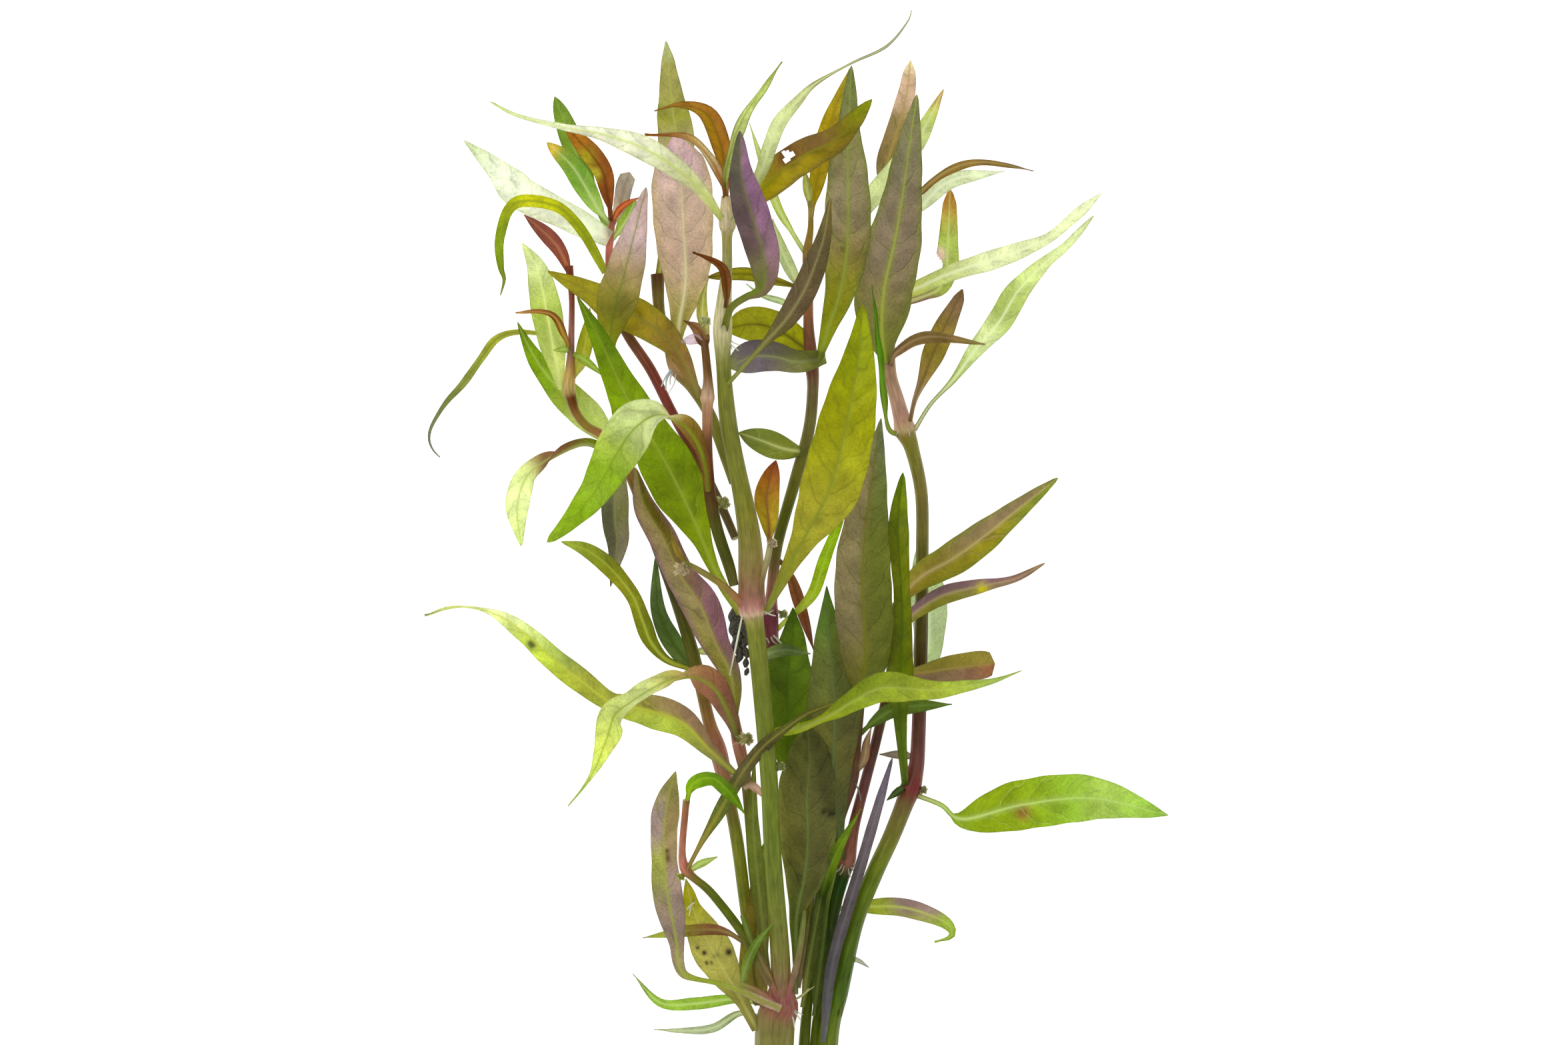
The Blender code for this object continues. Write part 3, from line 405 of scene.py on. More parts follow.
def torn_grid(top, holes):
    """The cells of a blade's grid, without those that lie in its ragged holes."""
    rows, columns = top.shape[:2]
    index = np.arange(rows * columns).reshape(rows, columns)
    cells = np.stack((index[:-1, :-1], index[:-1, 1:], index[1:, 1:], index[1:, :-1]), axis=-1)
    cells = cells.reshape(-1, 4)
    for hole_x, hole_y, radius in holes:
        middle = top.reshape(-1, 3)[cells].mean(axis=1) - (hole_x, hole_y, 0.0)
        wobble = 1.0 + 0.25 * np.sin(3 * np.arctan2(middle[:, 1], middle[:, 0]) + hole_x)
        cells = cells[np.hypot(middle[:, 0], middle[:, 1]) > radius * wobble]
    return cells


def seen_colours(seen, right, edge, marks, along, share, sideways, top):
    """The colours of the face turned to the sky, at every row and column."""
    columns = share.shape[1]
    body = np.repeat(stops(seen, along)[:, None, :], columns, axis=1)
    if right:
        other = np.repeat(stops(right, along)[:, None, :], columns, axis=1)
        body = mixed(body, other, np.clip(0.5 + sideways * HALVES_BLEND, 0.0, 1.0))
    if edge:
        near_edge = np.clip((share - EDGE_STARTS) / (1.0 - EDGE_STARTS), 0.0, 1.0) ** 1.5
        body = mixed(body, colour(edge), EDGE_STRENGTH * near_edge)
    for mark_x, mark_y, radius, tint in marks:
        distance = np.hypot(top[..., 0] - mark_x, top[..., 1] - mark_y) / radius
        body = mixed(body, colour(tint), np.clip(MARK_STRENGTH * np.exp(-(distance**2)), 0.0, 1.0))
    return body.reshape(-1, 3)


def blade(width, points, seen, rib, roll=0, edge=None, right=None, arch=False, far=0.28, marks=(),
          holes=(), widths=None, peak=0.42, point=1.9, petiole=0.1, ripple=0.22, cup=13.0,
          spacing=ROW_SPACING, side_cells=5, rooted=0.0):
    """A leaf through points of x, y, z and, where it isn't the shared one, roll: 0 shows its
    upper face from above, 180 its underside and 90 its edge. seen, rib and edge colour the face
    turned to the sky, right the half on its right; widths are measured at even shares of its
    length, and rooted lengthens it at the base."""
    points = np.array([(*spot, roll)[:4] for spot in points], dtype=float)
    phase = points[0][0] * 1.7 + points[0][1]
    ahead = points[1][:3] - points[0][:3]
    points[0][:3] -= rooted * ahead / np.linalg.norm(ahead)
    path, run = smooth_path(points, spacing)
    facing, side = directions(path)
    along = run / run[-1]
    turn = np.radians(path[:, 3])
    cosine, sine = np.cos(turn)[:, None], np.sin(turn)[:, None]
    across = cosine * side - sine * facing
    upward = (cosine * facing + sine * side)[:, None, :]

    half, stalk = half_widths(run, width, widths, petiole, peak, point, phase)
    x, share, rib_half = columns_across(along, half, side_cells)
    flat = (1.0 - stalk)[:, None]
    depth = np.exp(-((x / rib_half) ** 2))
    fold = math.tan(math.radians(cup)) * half[:, None] * share**FOLD_CURVE
    right_wave = np.sin(run / WAVE_RIGHT + phase)[:, None]
    left_wave = np.sin(run / WAVE_LEFT + 2.3 * phase)[:, None]
    sway = np.where(x > 0, right_wave, left_wave)
    lift = fold + ripple * sway * share**2 * flat - RIB_DEPTH * depth * flat
    rib_thick = RIB_THICKNESS * (1.0 - RIB_THINNER * along)[:, None]
    thick = BLADE_THICKNESS * (1.0 - MARGIN_THINNER * share) + rib_thick * depth
    round_stalk = STALK_THICKNESS * stalk[:, None] * (1.0 - 0.6 * share**2)
    thick = np.minimum(thick, 0.45 * half.max()) * flat + round_stalk
    thick *= np.minimum(1.0, width / THIN_BELOW_WIDTH)
    top = path[:, None, :3] + x[..., None] * across[:, None, :] + lift[..., None] * upward
    bottom = top - thick[..., None] * upward
    faces, skins = with_rims(torn_grid(top, holes), x.size)

    sideways = x * np.sign(cosine) / half[:, None]
    body = seen_colours(seen, right, edge, marks, along, share, sideways, top)
    from_above = cosine.mean() > 0
    hidden = body if arch else mixed(body, colour(FAR_UNDER if from_above else FAR_UPPER), far)
    upper, under = (body, hidden) if from_above else (hidden, body)
    mask = np.clip(1.35 - np.abs(x) / rib_half, 0.0, 1.0) * (1.0 - 0.3 * along)[:, None]
    rib_line = np.column_stack((np.tile(colour(rib), (x.size, 1)), mask.ravel()))
    place = np.stack(np.broadcast_arrays(x, run[:, None], half[:, None]), axis=-1).reshape(-1, 3)
    one_face = {"place": place, "upper": upper, "under": under, "rib": rib_line}
    made = {key: np.vstack((values, values)) for key, values in one_face.items()}
    spots = np.vstack((top.reshape(-1, 3), bottom.reshape(-1, 3)))
    return {"spots": spots, "faces": faces, "skins": skins, **made}


def piece(name, parts, nodes=(), materials=LIVING):
    """One object from parts. It rides on the bunch and stands for the nodes named."""
    start, faces, skins = 0, [], []
    for one in parts:
        faces += [[corner + start for corner in face] for face in one["faces"]]
        skins += one["skins"]
        start += len(one["spots"])
    kinds = ("spots", "place", "upper", "under", "rib")
    joined = {key: np.vstack([one[key] for one in parts]) for key in kinds}
    used = sorted(set(skins))
    mesh = bpy.data.meshes.new(name)
    spots = (joined["spots"] - (MIDDLE_X, MIDDLE_Y, 0.0)) * MM
    mesh.from_pydata(spots.tolist(), [], faces)
    mesh.polygons.foreach_set("material_index", [used.index(skin) for skin in skins])
    placed = mesh.attributes.new("place", "FLOAT_VECTOR", "POINT")
    placed.data.foreach_set("vector", joined["place"].ravel())
    for key in ("upper", "under"):
        joined[key] = np.column_stack((joined[key], np.ones(start)))
    for key in ("upper", "under", "rib"):
        coloured = mesh.attributes.new(key, "FLOAT_COLOR", "POINT")
        coloured.data.foreach_set("color", joined[key].ravel())
    mesh.shade_smooth()
    mesh.set_sharp_from_angle(angle=SHARP_ANGLE)
    for skin in used:
        mesh.materials.append(materials[skin])
    made = bpy.data.objects.new(name, mesh)
    bpy.context.scene.collection.objects.link(made)
    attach(made, "root")
    if nodes:
        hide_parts(*nodes)
    return made


def stem(node, points, shoots=()):
    return piece(node + "_grown", [tube(points), *shoots], (node,))


stem("stem_main", [
    (-2.4, -28, 4.2, 4.2, "#A3A862"), (-2.4, -10, 6, 4.2, "#9C9A58"), (-2, 4, 9.6, 4.3, "#8F8850"),
    (-0.8, 8.2, 11, 4, "#A87062"), (-0.7, 11, 12.2, 3.1, "#AC7C6A"),
    (-0.7, 14.5, 13.4, 2.3, "#A08862"), (-1, 22, 16, 2.1, "#90904A"),
    (-2.5, 42, 22, 1.9, "#7F8C36"), (-3.5, 62, 27, 1.9, "#84903A"), (-5.8, 88, 31.2, 2, "#8C923E"),
    (-6.7, 95.4, 32.6, 2.1, "#A4A45A"), (-7.1, 97.2, 32.9, 2.9, "#E6CBB0"),
    (-7.2, 98.8, 33.1, 3.1, "#D09A90"), (-7.3, 102, 33.6, 2.9, "#A8806A"),
    (-7.4, 108, 34.4, 2.8, "#A0905A"), (-7.8, 114.5, 35, 2.5, "#98924A"),
    (-8.8, 121, 35.7, 2.2, "#92923E"), (-10.6, 130, 36.6, 1.9, "#8E9240"),
    (-12.5, 140, 37.3, 1.9, "#8A8E40"), (-13.6, 153, 38.2, 1.6, "#94964E"),
    (-13.8, 161, 38.5, 2.1, "#D8D2A8"), (-13.4, 168, 38.5, 1.6, "#C9C59A"),
    (-12.8, 175, 38.5, 1.15, "#A9A872"), (-12.8, 182, 38.2, 1.15, "#A8A06A"),
    (-12.7, 184.8, 38, 1.9, "#D9CFB0"), (-13, 191, 37.4, 1, "#D8C8A0"),
], [
    tube([(-0.9, 8.6, 13.6, 0.9, "#C0707A"), (-3.4, 15, 15.2, 0.9, "#A88A5C"),
         (-7.6, 24, 16.2, 0.8, "#848E3E"), (-9.4, 29, 16, 0.6, "#7A8A3A")], ridges=5, sides=14),
    tube([(0.6, 9, 13.8, 0.9, "#B86A72"), (2.2, 15, 15.4, 0.8, "#A8886A"),
         (3.8, 23, 16.2, 0.7, "#8E9050"), (4.6, 30, 16, 0.5, "#7A8A44")], ridges=5, sides=14),
    tube([(-1.6, 8.4, 14.2, 1, "#C87A80"), (-5.6, 11.4, 15, 0.9, "#B08E6A"),
         (-9.6, 13.4, 14.8, 0.7, "#9CA050")], ridges=5, sides=14),
    blade(2.3, [(-9.6, 12.4, 14.4), (-8.6, 17, 16), (-6.6, 22, 18), (-2.7, 27, 20.4)],
          "#A8B466 #8EAA3E #86A83A #7EA434", "#B4CC74", petiole=0.02),
    tube([(-8.5, 98.5, 34, 1, "#C08A70"), (-14, 103.6, 36.6, 0.8, "#A8934E"),
         (-19, 106.8, 37.6, 0.7, "#9A9050"), (-22.5, 108.8, 37.8, 0.45, "#8A8A40")], ridges=5,
         sides=14),
    blade(1.6, [(-22.2, 108.6, 37.8), (-23.6, 110.6, 37.6), (-24.6, 112.8, 37.2), (-25.3, 115, 37)],
          "#9A8A40 #A8923C #8A7A30", "#8A7A30", petiole=0, side_cells=3),
    tube([(-5.6, 99.2, 34.4, 0.7, "#B08A6E"), (-4.9, 104.6, 36.4, 0.6, "#A08A5A"),
         (-3.4, 111, 38.4, 0.7, "#B9B488"), (-3, 114, 39, 0.55, "#A8924A")], ridges=5, sides=14),
    blade(5.6, [(-3.2, 112, 38.8), (-3.4, 118, 39.2), (-3.8, 124, 39), (-1.8, 131.6, 38)],
          "#9C8A40 #A8961E #B09A1E #B0861E #A8661E #8A3A20", "#8A5A34", petiole=0.04, peak=0.55),
    blade(2.8, [(-13.2, 189.5, 37.4), (-13.5, 193, 39.5, 20), (-16.5, 199.2, 39.5, 40),
          (-22, 204.2, 38.5, 60), (-31.3, 204.9, 37.5, 60)],
          "#A0522D #B98A5A #D8D0A0 #C9B070 #8A5A1E #9A6A1E", "#A8723A", edge="#8A5A20", arch=True),
    blade(3.6, [(-13, 189.5, 37.6, 20), (-12.9, 197, 40.6, 50), (-9, 208.6, 42.4, 50),
          (-0.2, 221, 41, 60)],
          "#C9D08A #B4C070 #C5D08A #B9C878 #A9B860", "#8A9A4A", edge="#7A8A3A", arch=True),
    blade(2.2, [(-13.2, 164.5, 39.6), (-12.9, 169.5, 41.8), (-14, 175, 42.5, 20),
          (-20.5, 178.3, 42.5, 30)],
          "#B9A070 #8E5A20 #8A5218 #7A4416", "#5A3410", edge="#6A3A14"),
    blade(3, [(-5.6, 86.8, 30), (-3.8, 87.8, 27), (0, 88.9, 25.7), (6, 88, 25)],
          "#7F9450 #7F9450 #8AA05A", "#A9B884"),
    blade(2, [(-4.5, 5.4, 8), (-10, 6.6, 5), (-16, 3.2, 3), (-23, 2.6, 2.2), (-29.5, 2.9, 1.6)],
          "#7A8A4A #8A9A5A #9FAF86 #A8B48E #B4BC8A", "#C5CFA8"),
    blade(2.8, [(-3.4, 8.4, 9.6), (-11, 9.8, 6.6), (-20, 8.8, 5.4), (-28, 9, 5),
          (-34.2, 15.5, 4.6)],
          "#8FA050 #93B83C #93B83C #8AAE3A #6F8A3A", "#C5D88A"),
])


# The stems on the left.
# Thinner rooted stems of the same bunch: olive below, pink at the nodes and red-brown towards the
# light. The far one turns up sharply above its last node and carries a tuft of small leaves.

stem("stem_left", [
    (-5.6, 12.5, 8, 1.2, "#7A7A30"), (-8, 26, 8, 1.3, "#7E8230"), (-10.5, 45, 11, 1.4, "#828632"),
    (-12.2, 54, 13, 1.4, "#8A7E4A"), (-14.7, 65.5, 15, 1.9, "#B08070"),
    (-17, 73, 16, 1.4, "#9A7A50"), (-20, 86, 17, 1.4, "#6E6A28"), (-24.5, 101, 18, 1.4, "#4A4A14"),
    (-29, 113, 19, 1.2, "#5A5A20"), (-33, 124, 20, 1.1, "#7A6A30"),
    (-36.5, 133, 21, 1.6, "#B08060"), (-41, 137.3, 21.5, 1, "#B47A60"),
    (-44.5, 139.3, 22, 0.95, "#A8924A"), (-47, 142.5, 22.5, 0.95, "#9A7240"),
    (-48, 145.8, 23, 1.15, "#7A4A20"), (-48.5, 147.4, 23, 1.5, "#C9B478"),
    (-48.2, 152, 23.3, 1.1, "#C5A468"), (-48, 156, 23.4, 0.8, "#A8786A"),
    (-47.9, 160, 23.5, 0.7, "#A87A70"), (-47.8, 168, 23, 0.65, "#8A5040"),
    (-48.4, 175.5, 23, 0.9, "#8A4A34"),
], [
    blade(3.6, [(-48.2, 173, 23), (-50, 178, 23.5), (-53, 182, 22.5), (-58.6, 187, 21)],
          "#8A4A30 #7C4028 #84483A #7C4434 #7A4A3A", "#B4785A", petiole=0, peak=0.5),
    blade(1.9, [(-48, 156, 23.5), (-49.5, 159.7, 25.6, 20), (-52.5, 164.5, 26.4, 40),
          (-60.5, 165, 25, 50)],
          "#B0805A #9A6428 #8A4A28 #A86A3A #B98A5A", "#C9B05A", arch=True),
    blade(1.5, [(-47.9, 156.4, 23.4), (-49.6, 156.6, 25.8), (-51.9, 156.4, 27)],
          "#A9C24A #A9C24A", "#C5D88A"),
    blade(1.9, [(-47.9, 155.8, 23.4), (-45.5, 154.6, 27.2), (-43, 152.7, 28), (-40.5, 150.4, 28)],
          "#A9C24A #9CB83A #8AA82A", "#B9CC6A"),
    blade(3.5, [(-48.3, 148.5, 23), (-45.6, 154.5, 23.4), (-44.3, 161, 24.2), (-43.7, 166, 24.5)],
          "#B9A870 #A8A84A #9AA21E #9AA21E #8E9A14", "#B4B84A"),
    blade(4.3, [(-20.2, 85, 16.2), (-23.8, 88.5, 16), (-28.3, 97.5, 16.5), (-29, 109.8, 17)],
          "#4A5E28 #3E5A1E #3A5620 #46602A #4E6A2C", "#3A4A14",
          widths=(1.6, 4, 4.6, 4.2, 3.4, 2.6, 1.6, 0.4)),
    blade(1.9, [(-20.6, 88.4, 15.6), (-18, 88.6, 14.8), (-14.6, 88.4, 14.4)],
          "#8E9A58 #A0AA6A #9AA860", "#B9C480"),
])
stem("stem_back_left", [
    (-11.2, 126.5, 33.2, 1.1, "#8A8A44"), (-13, 132, 32, 1.25, "#8A8A44"),
    (-16.5, 141.5, 30.4, 1.3, "#84823A"), (-20.5, 148, 29.5, 1.4, "#8E8248"),
    (-24, 152.5, 29, 1.9, "#B0906A"), (-26, 158, 28.5, 1.2, "#8E7A44"),
    (-28, 165, 28, 1.2, "#84783C"), (-28.5, 173.5, 27, 1.5, "#5A3A1E"),
])
stem("stem_upper_branch", [
    (-11.2, 103.4, 36.1, 1, "#6E6A30"), (-12.4, 108, 36.4, 1.25, "#5E6018"),
    (-15, 116, 37.2, 1.3, "#5A5A14"), (-16.6, 124, 38.5, 1.3, "#6A4A20"),
    (-17.2, 134, 39, 1.1, "#8A5A3A"), (-17.2, 143.5, 39, 1.2, "#C5A080"),
    (-17.2, 145.5, 38.9, 1.6, "#DCC0A4"), (-17.1, 150, 38.4, 1, "#8A6A44"),
    (-17.9, 158.5, 37.3, 0.85, "#6E4A24"),
], [
    blade(3.4, [(-17.6, 157, 37.2), (-18.8, 160.4, 36.6), (-20.6, 162, 35.6), (-22.6, 163, 34.8)],
          "#6E4A24 #8A6A3E #7A5A38", "#6A4424", petiole=0.02, peak=0.3),
    blade(2.4, [(-17.8, 157.6, 37.4), (-19.6, 158.8, 36.8), (-21.4, 158.6, 36.2),
          (-23.2, 158.2, 35.8)],
          "#E4CFD8 #E4D0DE #E8DCE6", "#F0E8F0", petiole=0.02, peak=0.5),
    blade(2.6, [(-17.2, 160, 37.6), (-18.4, 164.6, 36.6), (-18, 169, 35.8), (-16.9, 172.6, 35.4)],
          "#C9BC6A #A9B04A #9AA84A", "#D8D890", petiole=0.02, peak=0.3),
])
stem("stem_top_left", [
    (-10.9, 114, 32.2, 0.9, "#6A5A34"), (-14, 121, 29.4, 1, "#6A5A34"),
    (-18, 129, 27.5, 1.1, "#7A5A3C"), (-25.5, 143, 27, 1.1, "#8A4A44"),
    (-30, 152, 26.5, 1.15, "#8A5040"), (-35.3, 160, 25, 1.1, "#7A5A40"),
    (-37.8, 166, 23.4, 0.9, "#8A6A54"), (-39.4, 176, 23.6, 0.85, "#C08074"),
    (-38.8, 185.5, 25, 0.8, "#B97A66"),
], [
    blade(1.5, [(-38.8, 185, 25), (-37.2, 187.9, 28), (-35, 189.7, 28.6), (-32.3, 190.8, 28.6)],
          "#B5551E #B5501E #C05A28 #B0602E", "#D88A5A"),
    blade(3.8, [(-38.8, 184, 24.4), (-36.9, 189, 21.6), (-36, 193.4, 21), (-34.8, 196.6, 21)],
          "#B9A88A #C9BFA4 #A89C88 #9C9484 #B4AE98", "#8A7A60", ripple=0.8, peak=0.75, point=0.7),
    blade(3.6, [(-39, 181, 23.6), (-36, 185, 21.2), (-33.4, 190.4, 20)],
          "#9CB050 #8AA83A #7AA028", "#C5D88A", peak=0.55),
    blade(5, [(-39, 183.5, 24.2), (-41.4, 186.8, 21.4), (-46.5, 200, 19.6), (-51.7, 213.7, 18)],
          "#7A9A3A #5F7E20 #5F7E20 #6A8A28 #6A8A28", "#8AA84A", peak=0.62),
    blade(5, [(-38.9, 184.6, 25.4), (-42, 188.5, 26.6), (-47.5, 197.6, 26.8), (-53.4, 203.2, 26.6)],
          "#C0D08A #A4C464 #8DB648 #7AA83A #8AA83A #C5A83A", "#C9DC9A", peak=0.5, point=1.4,
          marks=[(-52.4, 202, 1.6, "#CDB03C")]),
    blade(4.7, [(-38.9, 185.2, 25.2), (-39.6, 191, 29.8), (-41.5, 198, 31.2), (-49.6, 207.4, 31)],
          "#A06A50 #8A4A20 #9A5A1C #8A4E1A #A8701E #A87420", "#6A3A10", peak=0.55,
          marks=[(-44.6, 199.6, 1.9, "#BCAA28"), (-42.6, 196, 1.4, "#C9BC3A")]),
])
stem("stem_lower_branch", [
    (-3.4, 13.2, 15.4, 0.9, "#8E7A50"), (-8.5, 23.5, 15.6, 1, "#6E7420"),
    (-16, 33.5, 14.6, 0.95, "#6A7418"), (-20.4, 37.4, 14, 0.9, "#8A7A3A"),
    (-22.2, 39.2, 14.2, 1.2, "#C98A74"), (-23, 43, 14.4, 0.8, "#C08A74"),
    (-22.3, 52, 16, 0.75, "#A8785A"), (-22, 55, 16.8, 0.8, "#9A7A4A"),
], [
    blade(4, [(-22, 54, 16.6), (-20.6, 58.6, 20.6, 30), (-16.4, 60, 23, 40),
          (-12.6, 57.2, 24.2, 20), (-8.7, 51.7, 23)],
          "#8A9A28 #83AE14 #83AE14 #7AA410 #6E9410", "#A9C83A", arch=True),
    blade(1.8, [(-21.8, 38.4, 13.8), (-19.4, 40.2, 12.4), (-15, 42.1, 12)],
          "#A6BE5C #A6BE5C #9CB44E", "#C5D88A"),
    blade(2.7, [(-8.6, 22.6, 15), (-13, 25, 11.8, 20), (-19, 25.6, 10.4), (-32, 23.7, 7.6)],
          "#9A7A5A #8A5A40 #9A6A44 #A0983A #9AA83A #8FA42C", "#A99A5A"),
])
stem("stem_behind_main", [
    (-3.6, 14, 6.6, 0.9, "#6E6A2A"), (-5.2, 25, 6.4, 1, "#6A6A24"), (-6.8, 38, 9.4, 1.1, "#6E7420"),
    (-7.7, 50, 14, 1.1, "#747A24"), (-8.6, 60, 18, 1.2, "#8A7A4A"),
    (-10.3, 68, 21.2, 1.4, "#B4806E"), (-11.2, 74, 23, 1, "#A8825A"),
], [
    blade(2.8, [(-11, 72.6, 21.6), (-12.6, 78, 20.4), (-14.6, 82, 19.6), (-18, 85, 19)],
          "#6E7024 #5A6414 #5A6414 #66701E", "#8A9040"),
])


# The stems in the middle and on the right.
# Slender stems that cross low down behind the big leaves, and the long one on the right with its
# flared pink node and papery bracts.

stem("stem_centre", [
    (2.9, 12.5, 10, 0.85, "#8E7A58"), (5.3, 27, 10.5, 0.85, "#7A7430"), (6, 36, 11, 0.9, "#6E6A28"),
    (5, 50, 12.5, 1, "#7A6A3A"), (2, 66, 14, 1.2, "#8A6A44"), (-1.2, 80, 17.5, 1.4, "#7E5E48"),
    (-2.6, 89, 21, 1.6, "#7A4A48"), (-3.3, 93, 22.8, 2, "#8A5058"),
    (-3.1, 97, 23.6, 1.8, "#7A4450"), (-2.8, 101, 24.3, 1.3, "#A87A70"),
    (-1.5, 112.5, 26, 1.2, "#6A6A28"), (2.5, 127, 28, 1.3, "#6E6E2A"),
    (5.6, 138.5, 29.8, 1.3, "#74703A"), (6.5, 148, 30.6, 1.25, "#7A6A48"),
    (6.2, 153.5, 31, 1.5, "#8A5A4A"), (5.5, 162, 31.5, 1.15, "#9A6E50"),
    (5.5, 171, 32, 1, "#A8784E"), (5.2, 178, 32, 1, "#A88A50"), (6, 184, 32, 0.65, "#A08A3A"),
    (5.9, 190, 32, 0.5, "#B9A860"),
], [
    blade(2.8, [(-2, 93, 22.6), (1, 96, 23.2), (3.4, 98, 24.4), (6.8, 102.2, 28.8),
          (9.4, 110, 32.6), (14, 121.5, 33.5)],
          "#C5C878 #BCC850 #A4C020 #8FB414 #8FB414 #86AA10", "#B4CC4A", peak=0.5, point=1.2),
    blade(3, [(4.6, 170.2, 31.2), (-2, 172, 28.6), (-9, 173.6, 27.4), (-17.4, 172.8, 27)],
          "#7A7A1E #8A8A12 #8E8E10 #8A8A14 #6A5A1A", "#5A5010", edge="#5A5010", petiole=0.02,
          peak=0.6),
    blade(1.5, [(5, 165, 30.4), (-0.6, 167.4, 27.4), (-5, 168.8, 26.6), (-8.6, 171.4, 26)],
          "#A9BE86 #A9BE86 #9CB07A", "#C5D8A4", petiole=0.02),
    blade(6, [(5.2, 133.4, 29.4), (0, 134.2, 32), (-5, 136, 32.6), (-10.2, 137.8, 32.4)],
          "#6A7A24 #6F7A24 #6E7E2A #66742C", "#C9CF8A", petiole=0, peak=0.55),
    blade(3, [(5.2, 168.6, 31.6), (2.6, 172.4, 30), (-0.5, 179, 28), (-2.6, 186, 27)],
          "#B4C48A #B4C48A #A9BC74", "#D0DCA8"),
    blade(2.1, [(4.9, 178, 32.2), (1.6, 183.3, 32.8), (-2, 190, 33.4), (-7.8, 207.5, 31)],
          "#B9CC5C #B9CC5C #C0D07A #B4C870", "#D0DCA0"),
    blade(4.6, [(5.9, 185, 31.8), (7, 192, 28.5), (9.7, 205, 25.5), (14.8, 220, 21)],
          "#9C8A15 #A08E14 #9C8A15 #A49A2A", "#8A7A14"),
    blade(2.8, [(-1.6, 109.5, 25.2), (1, 106.5, 24.2), (3.6, 99, 22), (6.8, 88.5, 21.6)],
          "#6E5A2A #7A5230 #74482E #7A5040", "#5A3A24", arch=True),
    blade(2.2, [(5.9, 188.5, 32), (5.4, 192, 32.4), (4.6, 197, 32)],
          "#9AA44A #A8AE50 #9CA444", "#C5CC8A"),
])
stem("stem_right", [
    (9.8, -28, 1.84, 2.1, "#7A8A3A"), (10, 0, 4.4, 2.2, "#76862E"), (12.6, 12, 6, 2, "#5E7A20"),
    (16, 27, 8, 1.9, "#6A8020"), (20.3, 38, 9.8, 1.9, "#748424"),
    (24.2, 46.5, 11.2, 1.9, "#7E7E34"), (27.2, 54, 12.1, 2, "#7A6A3C"),
    (28.5, 57.5, 12.5, 2.3, "#8A4040"), (29.5, 61, 12.8, 1.9, "#7A4A3C"),
    (30.2, 66, 12.9, 1.6, "#7A5048"), (30.8, 85, 13.5, 1.5, "#5A4A20"),
    (31.2, 110, 14.4, 1.4, "#7A763C"), (31, 124, 16, 1.4, "#8A8048"),
    (28.9, 134, 18.8, 1.6, "#8A8A40"), (27.5, 137.6, 19.5, 2.2, "#9A8E50"),
    (27.2, 138.8, 19.7, 2.5, "#DCC8A0"), (26.6, 141, 20.1, 1.9, "#C4A090"),
    (25.4, 145.5, 20.6, 1.6, "#BCA08C"), (23.7, 152, 21, 1.5, "#AE9478"),
    (23.8, 162, 21.5, 1.4, "#96855C"), (25.3, 174, 22, 1.2, "#8A7E50"),
    (26.2, 186, 22, 1, "#8A6A4A"),
], [
    blade(1.8, [(28.2, 58.5, 13.5), (25.6, 56.8, 15.2), (23.2, 54.9, 15.6)],
          "#4A5A28 #3A5020 #44582A", "#6A7A44", arch=True),
    blade(2, [(30.2, 63.6, 12), (27.5, 65, 10.6), (21.5, 65.2, 10)],
          "#6A6454 #746C5C #6A6450", "#8A8470"),
    blade(1.2, [(13.8, 16.8, 6.4), (16, 18.8, 7.2), (19.2, 17, 7.4)],
          "#8A9A6A #A9B098 #7A7A78", "#B4BCA0", ripple=0.5),
    blade(2, [(26.2, 185.5, 22.4), (31.2, 192.4, 23.6, 20), (38, 197.4, 24, 30),
          (46, 198.8, 22.4, 30), (56.3, 196.8, 19, 30)],
          "#8A7A3A #8A6A30 #8E7234 #7E6430 #6A5A30", "#A99A6A", arch=True),
    blade(3.6, [(26.2, 184, 21.6), (31.6, 189.6, 21), (38, 194.8, 20.4), (49.8, 196.8, 18, 20)],
          "#C9D8A0 #D6E3B8 #D6E3B8 #DCE8C4", "#EAF2D4"),
    blade(1.9, [(26, 137.2, 20), (23.4, 139.2, 25, 30), (22.2, 148, 34, 40), (21, 160, 38, 40),
          (19.8, 171, 39, 20)],
          "#B08A6E #6E7A20 #5C8A0C #5A860A #54800A", "#7AA42A", arch=True),
    blade(2.8, [(23.7, 152.6, 21.6), (25.6, 156.2, 27.5, 20), (32.5, 159.4, 30.5, 20),
          (45.3, 157.7, 26, 20)],
          "#5A4444 #7A5E3C #85703A #8A743A #6E7A24", "#B49A70", edge="#A89060"),
])
